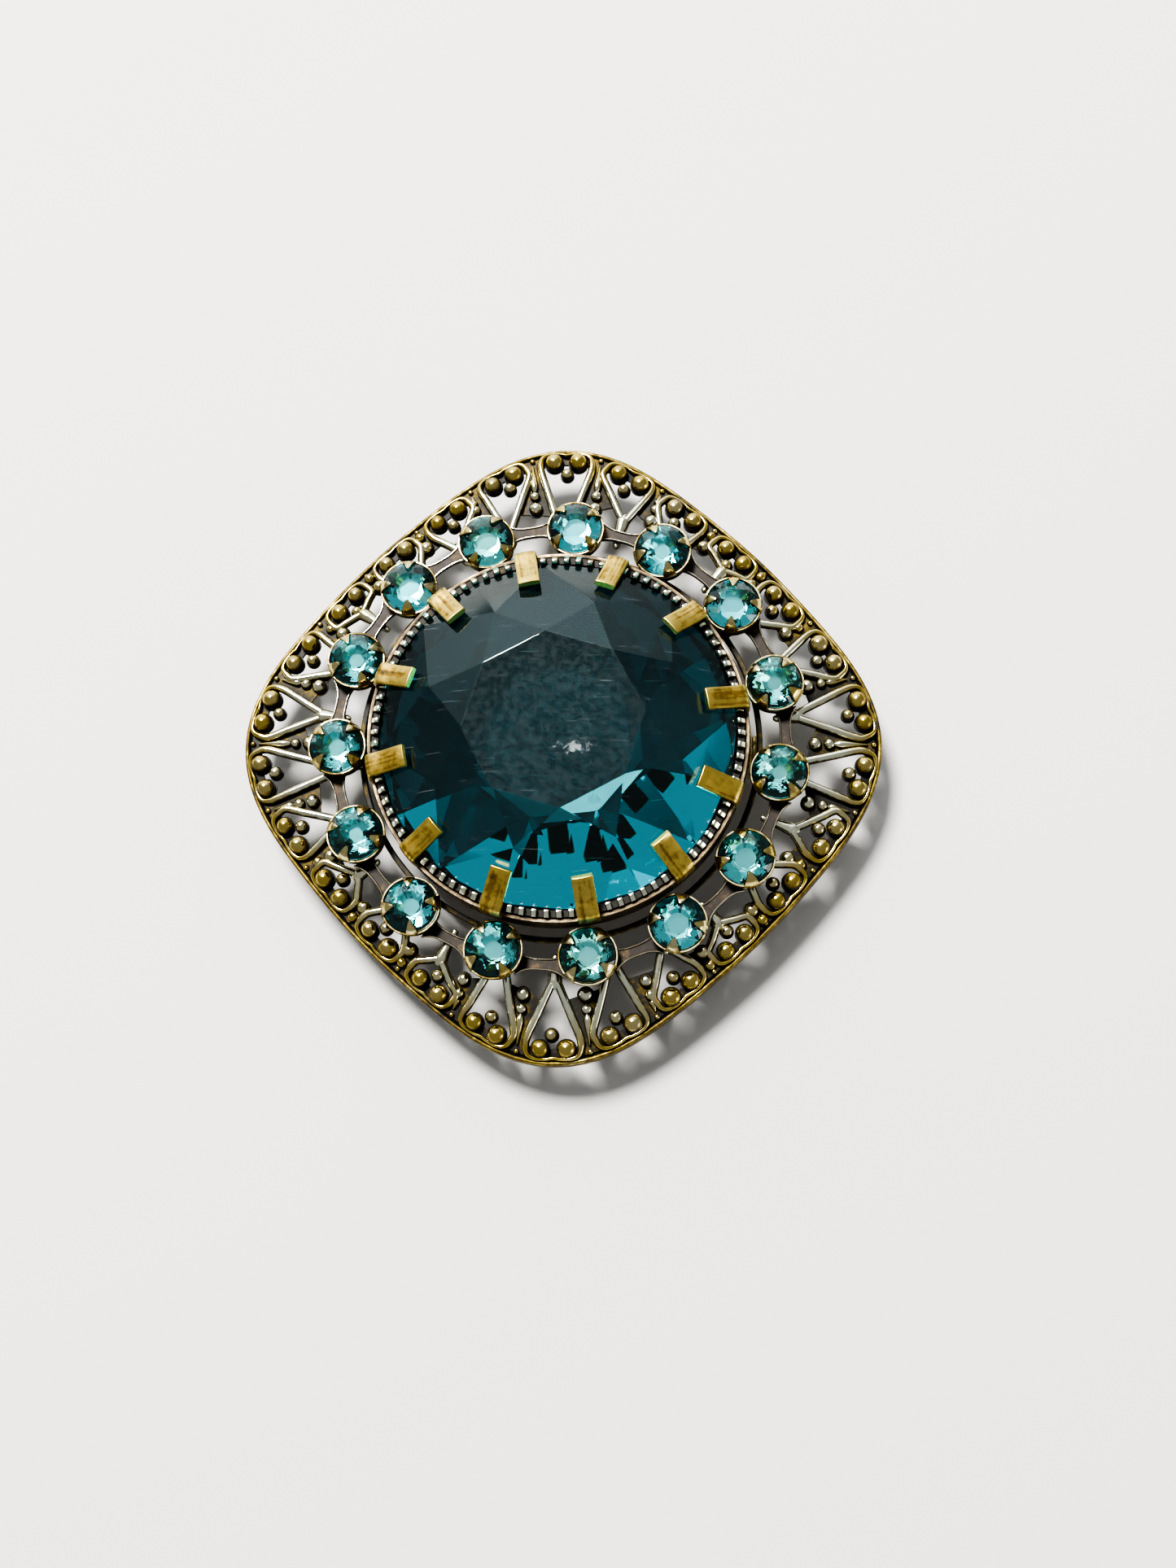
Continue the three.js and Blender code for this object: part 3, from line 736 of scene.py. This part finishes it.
def cut_stone(name, material, radius, girdle, planes, centre, turn, segments, worn_edge=0.0,
              tilt=(0.0, 0.0)):
    """A disc cut by facet planes (normal, point): crown and pavilion with a round girdle.
    The tilt (radians about X and Y) is taken about the girdle's middle."""
    girdle_low, girdle_high = girdle
    bm = bmesh.new()
    spokes = [around(TAU * j / segments, radius) for j in range(segments)]
    ring_low = [bm.verts.new((*q, girdle_low - radius)) for q in spokes]
    ring_high = [bm.verts.new((*q, girdle_high + radius)) for q in spokes]
    bm.faces.new(ring_high)
    bm.faces.new(list(reversed(ring_low)))
    for j in range(segments):
        k = (j + 1) % segments
        bm.faces.new((ring_low[j], ring_low[k], ring_high[k], ring_high[j]))
    for normal, point in planes:
        geom = bm.verts[:] + bm.edges[:] + bm.faces[:]
        cut = bmesh.ops.bisect_plane(bm, geom=geom, plane_co=point, plane_no=normal, dist=1e-5,
                                     clear_outer=True)
        edges = [g for g in cut["geom_cut"] if isinstance(g, bmesh.types.BMEdge)]
        if edges:
            bmesh.ops.contextual_create(bm, geom=edges)
    bmesh.ops.recalc_face_normals(bm, faces=bm.faces[:])
    if worn_edge:
        crown = [e for e in bm.edges if min(v.co.z for v in e.verts) > girdle_high + 0.01]
        crisp = [e for e in crown if len(e.link_faces) == 2 and e.calc_face_angle() > radians(4)]
        bmesh.ops.bevel(bm, geom=crisp, offset=worn_edge, segments=1, affect="EDGES")
    middle = Vector((0, 0, (girdle_low + girdle_high) / 2))
    lean = Matrix.Rotation(tilt[0], 4, "X") @ Matrix.Rotation(tilt[1], 4, "Y")
    place = Matrix.Translation(Vector(centre) + middle) @ lean @ Matrix.Rotation(turn, 4, "Z")
    place = place @ Matrix.Translation(-middle)
    bmesh.ops.transform(bm, matrix=Matrix.Scale(MM, 4) @ place, verts=bm.verts[:])
    return from_bmesh(bm, name, material)


def facet(azimuth, slope, r, z, up=True):
    """Plane through (r, z) at an azimuth, falling away outwards at the slope (radians)."""
    normal = Vector((*around(azimuth, sin(slope)), cos(slope) if up else -cos(slope)))
    return normal, Vector((*around(azimuth, r), z))


def girdle_facets(radius, girdle_z, tip_r, tip_z, a, half, up=True):
    """Two planes through the tip between two main facets, one down to each side of the girdle."""
    tip = Vector((*around(a + half, tip_r), tip_z))
    planes = []
    for b in (a, a + 2 * half):
        ends = [Vector((*around(q, radius), girdle_z)) for q in (b, a + half)]
        normal = (ends[0] - tip).cross(ends[1] - tip).normalized()
        if (normal.z > 0) != up:
            normal.negate()
        planes.append((normal, tip))
    return planes


def brilliant_planes(radius, table_r, table_z, girdle, main_slope, lower_share, star_share=0.46):
    """Facets of a round brilliant: table, stars, kites, upper girdle, pavilion mains, lower girdle."""
    girdle_low, girdle_high = girdle
    folds = 8
    half = pi / folds
    turns = [2 * half * k for k in range(folds)]
    planes = [(Vector((0, 0, 1)), Vector((0, 0, table_z)))]
    kite = atan2(table_z - girdle_high, radius - table_r)
    star_r = table_r + (radius - table_r) * star_share
    star_z = table_z - (star_r * cos(half) - table_r) * tan(kite)
    star = atan2(table_z - star_z, star_r - table_r * cos(half))
    for a in turns:
        planes.append(facet(a, kite, radius, girdle_high))
        planes.append(facet(a + half, star, star_r, star_z))
        planes += girdle_facets(radius, girdle_high, star_r, star_z, a, half)
    # pavilion: mains and, between them, slightly steeper lower girdle facets
    tip_r = radius * (1 - lower_share)
    tip_z = girdle_low - (radius - tip_r * cos(half)) * tan(main_slope)
    for a in turns:
        planes.append(facet(a, main_slope, radius, girdle_low, up=False))
        planes += girdle_facets(radius, girdle_low, tip_r, tip_z, a, half, up=False)
    return planes


def flat_below(z):
    """Plane that cuts a stone off level at the bottom."""
    return Vector((0, 0, -1)), Vector((0, 0, z))


def centre_stone():
    radius, table_r, girdle = 12.5, 6.28, (6.9, 7.05)
    planes = brilliant_planes(radius, table_r, STONE_HIGH[2], girdle, radians(20), 0.6)
    planes.append(flat_below(STONE_LOW[2]))
    return cut_stone("teal_stone", teal_glass, radius, girdle, planes, (0, 0, 0), radians(6.0),
                     segments=128, worn_edge=0.02)


def chaton(number):
    """A small brilliant and the foil under its pavilion."""
    x, y, z, a = place_on_ring(number)
    middle = z + 1.05
    girdle = (middle - 0.05, middle + 0.05)
    radius, table_r = 1.87, 0.95
    planes = brilliant_planes(radius, table_r, middle + 0.66, girdle, radians(rng.uniform(28, 37)), 0.7,
                              star_share=0.42)
    planes.append(flat_below(z + 0.23))
    turn = a + rng.uniform(-0.4, 0.4)
    shade = aqua_glass[rng.randrange(3)]
    tilt = (rng.uniform(-0.045, 0.045), rng.uniform(-0.045, 0.045))
    stone = cut_stone(f"stone_{number}", shade, radius, girdle, planes, (x, y, 0), turn, segments=48,
                      tilt=tilt)
    return stone, foil_shell(stone, f"foil_{number}")


def foil_shell(stone, name):
    """Thin metal shell that follows a stone's pavilion."""
    bm = bmesh.new()
    bm.from_mesh(stone.data)
    away = [f for f in bm.faces if f.normal.z > -0.2]
    bmesh.ops.delete(bm, geom=away, context="FACES")
    bmesh.ops.translate(bm, verts=bm.verts, vec=(0, 0, -0.012 * MM))
    obj = from_bmesh(bm, name, foil)
    shell = obj.modifiers.new("thickness", "SOLIDIFY")
    shell.thickness = 0.04 * MM
    shell.offset = 1.0
    return obj


# ------------------------------------------------------------------ centre setting and bezel

def setting():
    """Dish under the centre stone, and the wall that rises round the stone."""
    build = Build()
    low, skirt, wall_top = DISH_Z, SKIRT_Z, RIM_Z + 4.1
    wall_out, wall_in = 13.44, 13.13
    profile = [(0, low), (8.7, low), (9.0, low + 0.03), (9.3, low + 0.14), (wall_out - 0.25, skirt - 0.1),
               (wall_out - 0.04, skirt + 0.04), (wall_out, skirt + 0.2), (wall_out, wall_top - 0.05),
               (wall_out - 0.06, wall_top), (13.2, wall_top), (wall_in, wall_top - 0.06),
               (wall_in, skirt + 0.2), (8.8, low + 0.42), (0, low + 0.4)]
    wear_and_painted_light = [0.6, 0.6, 0.85, 0.66, 0.55, 0.6, 0.3, 0.35, 0.6, 0.35, 0.0, 0.0, 0.0, 0.0]
    revolve(build, profile, 128, wear_and_painted_light, 0.75)
    return build.make("setting_cup", dark_brass, 35)


def setting_lining():
    """Near-black sheet on the inside of the dish, under the centre stone: painted shade for the dark
    hollow beneath it.
    """
    build = Build()
    low, skirt = DISH_Z, SKIRT_Z
    revolve(build, [(0, low + 0.41), (8.8, low + 0.43), (13.08, skirt + 0.22), (13.1, skirt + 1.2),
                    (13.04, skirt + 1.2), (13.02, skirt + 0.25), (8.75, low + 0.47), (0, low + 0.45)],
            96, [0.0] * 8, 0.0)
    return build.make("setting_lining", painted_shade_lining, 35)


def prong(build, index):
    """A flat strip that rises outside the bezel and is bent over the stone."""
    turn = radians(11.6 + 30 * index) + radians(rng.uniform(-1.0, 1.0))
    half = 0.80 * rng.uniform(0.95, 1.04)
    thick, bevel, columns = 0.4, 0.07, 11
    tip_r = 10.75 + rng.uniform(-0.15, 0.15)
    top = BEZEL_HIGH[2]
    outer = [(13.5, top - 1.3), (13.53, top - 0.5), (13.52, top - 0.1), (13.45, top + 0.18),
             (13.28, top + 0.38), (12.95, top + 0.52), (12.3, top + 0.76), (11.6, top + 1.12),
             (11.1, top + 1.4), (tip_r, top + 1.58)]
    path = smooth_path([(0, r, z) for r, z in outer], 4)
    lean = rng.uniform(-0.05, 0.05)
    streaks = [rng.uniform(0.42, 0.78) for _ in range(columns)]
    c, s = around(turn)
    verts, wear_and_painted_light = [], []
    for i, p in enumerate(path):
        _, outwards, upwards = heading(path, i)
        u = i / (len(path) - 1)
        h = half * (1 - 0.06 * u)
        streaks = [min(0.85, max(0.35, w + rng.uniform(-0.07, 0.07))) for w in streaks]
        section = []
        for k, w in enumerate(streaks):
            x = -1 + 2 * k / (columns - 1)
            section.append((x * (h - bevel), 0.06 * (1 - x * x), 0.9 if k in (0, columns - 1) else w))
        # outer columns and upper edges brightest, rubbed metal with a painted highlight; lower edge and
        # underside darkest, painted shade
        edge = [(h - bevel * 0.3, -bevel * 0.3, 1.0), (h, -bevel, 0.75), (h, -thick + bevel, 0.25),
                (h - bevel, -thick, 0.15)]
        section += edge + [(-x, depth, w) for x, depth, w in reversed(edge)]
        for across, depth, w in section:
            r = p[1] + upwards * depth
            z = p[2] - outwards * depth
            y = across + lean * max(0.0, 13.0 - r)
            verts.append((*turned_point(r, y, c, s), z))
            wear_and_painted_light.append(min(1.0, w + 0.6 * max(0.0, u - 0.86) / 0.14))
    build.add(verts, tube_faces(len(path), columns + 8), wear_and_painted_light, 0.6 + 0.3 * rng.random())


def prongs():
    build = Build()
    for index in range(PRONGS):
        prong(build, index)
    obj = build.make("prongs", prong_brass, 35)
    bevel = obj.modifiers.new("soft_edges", "BEVEL")
    bevel.width = 0.05 * MM
    bevel.segments = 2
    bevel.limit_method = "ANGLE"
    bevel.angle_limit = radians(50)
    return obj


def milled_bezel():
    """Ring round the stone with a row of tall rounded teeth and dark gaps between them."""
    build = Build()
    base, top = BEZEL_LOW[2], BEZEL_HIGH[2]
    r_in, r_out = 12.56, 13.08
    shoulder = top - 0.5
    revolve(build, [(r_in, base), (r_out, base), (r_out, shoulder - 0.03), (r_out - 0.03, shoulder),
                    (r_in + 0.03, shoulder), (r_in, shoulder - 0.03)],
            192, [0.1, 0.2, 0.2, 0.0, 0.0, 0.1], 0.35)
    profile = ((r_in, 0.7), (r_in + 0.06, 0.93), (r_in + 0.16, 1.0), (r_in + 0.27, 0.95),
               (r_in + 0.34, 0.8), (r_out - 0.04, 0.55), (r_out + 0.02, 0.42))
    for k in range(TEETH):
        c, s = around(TAU * k / TEETH)
        half = 0.225 * rng.uniform(0.88, 1.1)
        rise = top - shoulder + 0.05 - rng.uniform(0.0, 0.05)
        verts, wear_and_painted_light = [], []
        for r, share in profile:
            z = shoulder - 0.05 + rise * share
            # each tooth brightest along its top, rubbed metal with a painted highlight, and black down its
            # flanks into the gaps
            for y, drop, w in ((-half, rise * share, 0.0), (-half, 0.16, 0.3), (-half * 0.72, 0.03, 0.9),
                               (0, 0.0, 1.0), (half * 0.72, 0.03, 0.9), (half, 0.16, 0.3),
                               (half, rise * share, 0.0)):
                verts.append((*turned_point(r, y, c, s), z - drop))
                wear_and_painted_light.append(w)
        build.add(verts, tube_faces(len(profile), 7), wear_and_painted_light, 0.1)
    return build.make("milled_edge", antique_brass, 40)


# ------------------------------------------------------------------ pin, hinge and catch

HINGE_LOW, HINGE_HIGH = box_mm("hinge_bracket")
RIVET_LOW, RIVET_HIGH = box_mm("hinge_rivet")
CATCH_LOW, CATCH_HIGH = box_mm("catch_body")
BARREL_LOW, BARREL_HIGH = box_mm("catch_barrel")
PIN_TIP = box_mm("pin_stem")[1][0]
BAR_LOW, BAR_HIGH = box_mm("pin_bar")
HINGE_X = (HINGE_LOW[0] + HINGE_HIGH[0]) / 2
PIN_Z = (RIVET_LOW[2] + RIVET_HIGH[2]) / 2
SLOT_HALF = 0.52
RIVET_BORE = 0.42


def about_y(u, v, t):
    """Drawing plane of the hinge: u along X, v up, t along Y, with the rivet's axis as origin."""
    return HINGE_X + u, t, PIN_Z + v


def about_x(u, v, t):
    """Drawing plane of the catch: u along Y, v up, t along X, with the pin's line as origin."""
    return t, u, PIN_Z + v


def rounded_box_reach(left, right, low, high, corner_low, corner_high):
    """Distance from the origin to the edge of a rectangle with rounded corners, by angle."""
    def reach(q):
        c, s = cos(q), sin(q)
        near, far = 0.0, 10.0
        for _ in range(30):
            r = (near + far) / 2
            x, y = r * c, r * s
            corner = corner_low if y < 0 else corner_high
            dx = max(x - (right - corner), (left + corner) - x, 0.0)
            dy = max(y - (high - corner), (low + corner) - y, 0.0)
            inside = left <= x <= right and low <= y <= high
            inside = inside and not (dx > 0 and dy > 0 and hypot(dx, dy) > corner)
            near, far = (r, far) if inside else (near, r)
        return near
    return reach


def pierced_plate(build, place, outer, inner_r, low, high, gold, slot=None, steps=72):
    """Plate round a hole, with chamfered edges; with a slot it is open downwards."""
    chamfer = 0.06
    if slot:
        below = -pi / 2
        reach_low = outer(below)
        flat_bottom = reach_low > 1.4
        open_out = atan2(slot, reach_low) if flat_bottom else asin(slot / reach_low)
        open_in = asin(min(0.98, slot / inner_r))
        shares = np.linspace(0, 1, steps)
        outs = below + open_out + shares * (TAU - 2 * open_out)
        ins = below + open_in + shares * (TAU - 2 * open_in)
    else:
        outs = ins = np.arange(steps) * TAU / steps + pi / steps
    verts, wear_and_painted_light = [], []
    for q_out, q_in in zip(outs, ins):
        rim = around(q_out, outer(q_out))
        hole = around(q_in, inner_r)
        cut = chamfer / np.linalg.norm(rim - hole)
        section = ((0, low + chamfer, 0.3), (0, high - chamfer, 0.3), (cut, high, 0.7),
                   (0.35, high, 0.42), (0.7, high, 0.48), (1 - cut, high, 0.95),
                   (1, high - chamfer, 0.95), (1, (low + high) / 2, 0.5), (1, low + chamfer, 0.95),
                   (1 - cut, low, 0.95), (0.7, low, 0.48), (0.35, low, 0.42), (cut, low, 0.7))
        for share, t, w in section:
            verts.append(place(*(hole + (rim - hole) * share), t))
            wear_and_painted_light.append(w)
    sides = len(section)
    faces = tube_faces(steps, sides) if slot else ring_faces(steps, sides, closed_rows=True)
    build.add(verts, faces, wear_and_painted_light, gold)


def turned(build, place, profile, wear_and_painted_light, gold, segments):
    """Round piece about the drawing plane's t axis; the profile (r, t) starts and ends on it."""
    shape = Build()
    revolve(shape, profile, segments, wear_and_painted_light, gold)
    build.add_moved(shape, place)


def bar_strip(build, outline, z_low, z_high, gold):
    """Flat strip with chamfered edges; the outline is anticlockwise."""
    chamfer = 0.08
    pts = [np.array(q) for q in outline]
    n = len(pts)
    inward = []
    for j in range(n):
        ahead = pts[(j + 1) % n] - pts[j - 1]
        ahead = ahead / np.linalg.norm(ahead)
        inward.append(np.array([-ahead[1], ahead[0]]))
    rows = ((0.45, z_low, 0.42), (chamfer, z_low, 0.9), (0.0, z_low + chamfer, 0.95),
            (0.0, z_high - chamfer, 0.6), (chamfer, z_high, 0.5), (0.45, z_high, 0.2))
    verts, wear_and_painted_light = [], []
    for inset, z, w in rows:
        for q, d in zip(pts, inward):
            verts.append((*(q + d * inset), z))
            wear_and_painted_light.append(w)
    build.add(verts, tube_faces(len(rows), n), wear_and_painted_light, gold)


def fitting(build, name, material=fitting_brass, smooth_angle=35):
    """Make a back fitting, with every shell's faces turned outwards."""
    obj = build.make(name, material, smooth_angle)
    bm = bmesh.new()
    bm.from_mesh(obj.data)
    bmesh.ops.recalc_face_normals(bm, faces=bm.faces[:])
    bm.to_mesh(obj.data)
    bm.free()
    return obj


def pin_bar():
    """Strip soldered across the back: one end round, the other square with cut corners."""
    build = Build()
    half = BAR_HIGH[1]
    left, right = BAR_LOW[0] + half, BAR_HIGH[0]
    outline = [(left + half * cos(b), half * sin(b)) for b in np.linspace(pi / 2, 1.5 * pi, 25)]
    long_edge = np.linspace(left, right - 0.3, 40)[1:]
    outline += [(x, -half) for x in long_edge]
    outline += [(right - 0.08, -half + 0.08), (right, -half + 0.3)]
    outline += [(right, y) for y in np.linspace(-half + 0.8, half - 0.8, 5)]
    outline += [(right, half - 0.3), (right - 0.08, half - 0.08)]
    outline += [(x, half) for x in long_edge[::-1]]
    bar_strip(build, outline, BAR_LOW[2], BAR_HIGH[2], 0.55)
    return fitting(build, "pin_bar_strip")


def hinge_bracket():
    """Folded saddle: a web under the bar and two ears that stand on their flat lower edges."""
    build = Build()
    half = (HINGE_HIGH[0] - HINGE_LOW[0]) / 2
    top = HINGE_HIGH[2]
    reach = rounded_box_reach(-half, half, -PIN_Z, top - PIN_Z, 0.7, 0.12)
    for side in (-1, 1):
        pierced_plate(build, about_y, reach, RIVET_BORE, side * 0.75, side * HINGE_HIGH[1], 0.5, steps=96)
    ends = (HINGE_LOW[0] + 0.02, HINGE_X, HINGE_HIGH[0] - 0.02)
    outline = [(x, -0.84) for x in ends] + [(x, 0.84) for x in ends[::-1]]
    bar_strip(build, outline, top - 0.38, top - 0.01, 0.5)
    return fitting(build, "hinge_saddle")


def hinge_rivet():
    build = Build()
    end = RIVET_HIGH[1]
    face = HINGE_HIGH[1] + 0.02
    head = [(0, -end), (0.28, -end + 0.02), (0.5, -end + 0.1), (0.61, -end + 0.2), (0.62, -face),
            (0.35, -face)]
    wear_and_painted_light = [0.9, 0.85, 0.7, 0.8, 0.1, 0.1]
    profile = head + [(r, -t) for r, t in reversed(head)]
    turned(build, about_y, profile, wear_and_painted_light + wear_and_painted_light[::-1], 0.7, 36)
    return fitting(build, "rivet")


def pin_stem():
    """Eye round the rivet, a short collar, and a shank that tapers to a sharp point."""
    build = Build()
    pierced_plate(build, about_y, lambda q: 0.95, RIVET_BORE, -0.6, 0.6, 0.3)
    shank_r = 0.4
    start, tip = HINGE_X + 0.72, PIN_TIP
    profile = [(0, start), (0.55, start + 0.02), (0.58, start + 0.3), (0.5, start + 0.55)]
    profile += [(shank_r, x) for x in (start + 0.75, *np.linspace(start + 1.5, tip - 4.5, 14))]
    profile += [(shank_r * 0.97, tip - 3.8), (shank_r * 0.87, tip - 2.7), (shank_r * 0.66, tip - 1.6),
                (shank_r * 0.36, tip - 0.7), (0.03, tip - 0.03), (0, tip)]
    turned(build, about_x, profile, [0.6] + [0.8] * (len(profile) - 1), 0.2, 28)
    return fitting(build, "pin", pin_metal, 40)


def catch_body():
    """Block that holds the barrel, with a round bore along X and a slot below it."""
    build = Build()
    half = CATCH_HIGH[1]
    reach = rounded_box_reach(-half, half, -PIN_Z, CATCH_HIGH[2] - PIN_Z, 0.05, 0.5)
    pierced_plate(build, about_x, reach, 1.02, CATCH_LOW[0], CATCH_HIGH[0], 0.5, SLOT_HALF, 160)
    return fitting(build, "catch_block")


def catch_barrel():
    """Slotted barrel with a flange and a flat thumb lever, turned to the open position."""
    build = Build()
    flange_low, flange_high = BARREL_HIGH[0] - 0.5, BARREL_HIGH[0]
    for radius, low, high in ((0.95, BARREL_LOW[0], flange_low + 0.1), (1.3, flange_low, flange_high)):
        pierced_plate(build, about_x, lambda q: radius, SLOT_HALF, low, high, 0.6, SLOT_HALF)
    half, tip_half = 0.4, 0.4 * 0.85
    tip = -BARREL_LOW[1] - 0.3
    outline = [(1.0, -half), (1.6, -half * 0.9), (tip, -tip_half)]
    outline += [(tip + 0.3 * cos(b), tip_half * sin(b)) for b in np.linspace(-pi / 2, pi / 2, 13)[1:-1]]
    outline += [(tip, tip_half), (1.6, half * 0.9), (1.0, half)]
    lever = Build()
    bar_strip(lever, outline, flange_low + 0.02, flange_high - 0.02, 0.7)
    build.add_moved(lever, lambda u, v, t: about_x(-u, v, t))
    return fitting(build, "catch_turner")


# ------------------------------------------------------------------ put together

def place_piece(obj, node_name, body="brooch_body"):
    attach(obj, body)
    if node_name:
        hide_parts(node_name)


place_piece(filigree(), "filigree_frame")
place_piece(ring_plate(), "chaton_ring_plate")
for k in range(1, CHATONS + 1):
    number = f"{k:02d}"
    place_piece(chaton_cup(number), f"chaton_cup_{number}")
    stone, backing = chaton(number)
    place_piece(stone, f"chaton_{number}")
    place_piece(backing, None)
place_piece(setting(), "centre_setting")
place_piece(setting_lining(), None)
place_piece(prongs(), None)
place_piece(milled_bezel(), "milled_bezel")
place_piece(centre_stone(), "centre_stone")

place_piece(pin_bar(), "pin_bar")
place_piece(hinge_bracket(), "hinge_bracket")
place_piece(hinge_rivet(), "hinge_rivet")
place_piece(catch_body(), "catch_body")
place_piece(pin_stem(), "pin_stem", body="pin")
place_piece(catch_barrel(), "catch_barrel", body="barrel")


# ------------------------------------------------------------------ stage, light and camera

def floor():
    mesh = bpy.data.meshes.new("floor")
    size = 1.5
    corners = [(-size, -size, 0), (size, -size, 0), (size, size, 0), (-size, size, 0)]
    mesh.from_pydata(corners, [], [(0, 1, 2, 3)])
    obj = new_object("floor", mesh)
    material, _, shader = new_material("floor_paper")
    shader.inputs["Base Color"].default_value = (0.62, 0.61, 0.59, 1)
    shader.inputs["Roughness"].default_value = 0.85
    mesh.materials.append(material)


def skyward(azimuth, elevation):
    """Unit vector towards a place in the sky; both angles in degrees."""
    rise = radians(elevation)
    return Vector((*around(radians(azimuth), cos(rise)), sin(rise)))


def area_light(name, location, size, power, color):
    """Round light that faces the origin."""
    data = bpy.data.lights.new(name, "AREA")
    data.shape = "DISK"
    data.energy = power
    data.color = color
    data.size = size
    obj = new_object(name, data)
    obj.location = location
    obj.rotation_euler = (-Vector(location)).to_track_quat("-Z", "Y").to_euler()


def world_light():
    """Even grey surroundings with one broad soft bright region, low beyond the brooch's far side."""
    world = bpy.data.worlds.new("studio")
    world.use_nodes = True
    bpy.context.scene.world = world
    tree = world.node_tree
    coords = tree.nodes.new("ShaderNodeTexCoord")
    spot = node(tree, "ShaderNodeVectorMath", operation="DOT_PRODUCT")
    spot.inputs[1].default_value = skyward(104, 27)
    tree.links.new(coords.outputs["Generated"], spot.inputs[0])
    lobe = node(tree, "ShaderNodeMapRange", interpolation_type="SMOOTHSTEP")
    for socket, value in (("From Min", 0.68), ("From Max", 0.98), ("To Min", 0.31), ("To Max", 2.0)):
        lobe.inputs[socket].default_value = value
    tree.links.new(spot.outputs["Value"], lobe.inputs["Value"])
    background = tree.nodes["Background"]
    background.inputs[0].default_value = (0.95, 0.98, 1.0, 1)
    tree.links.new(lobe.outputs[0], background.inputs[1])


def camera():
    """Nearly overhead, turned and rolled a little, as fitted to the photo."""
    azimuth, elevation, roll = radians(14.14), radians(75.05), radians(-13.53)
    distance = 0.1310
    sensor = 36.0
    focal_share = 2290 / 1927  # focal length over the picture's long side
    turn = Matrix.Rotation(azimuth, 3, "Z")
    aim = turn @ Vector((0.861, -3.673, 5.0)) * MM
    back = turn @ Vector((0, -cos(elevation), sin(elevation)))
    level = turn @ Vector((1, 0, 0))
    upright = back.cross(level)
    right = level * cos(roll) + upright * sin(roll)
    up = upright * cos(roll) - level * sin(roll)
    place = Matrix((right, up, back)).transposed().to_4x4()
    place.translation = aim + back * distance + (right * 0.38 + up * 0.16) * MM
    data = bpy.data.cameras.new("camera")
    data.sensor_width = sensor
    data.sensor_fit = "AUTO"
    data.lens = sensor * focal_share
    data.clip_start = 0.01
    obj = new_object("camera", data)
    obj.matrix_world = place
    bpy.context.scene.camera = obj


bpy.context.scene.view_settings.look = "AgX - High Contrast"
floor()
world_light()
area_light("key", skyward(120, 57) * 0.7, 0.21, 13.5, (1.0, 0.985, 0.95))
area_light("fill", (0.7, -0.25, 0.12), 0.35, 1.4, (1.0, 0.96, 0.9))
camera()
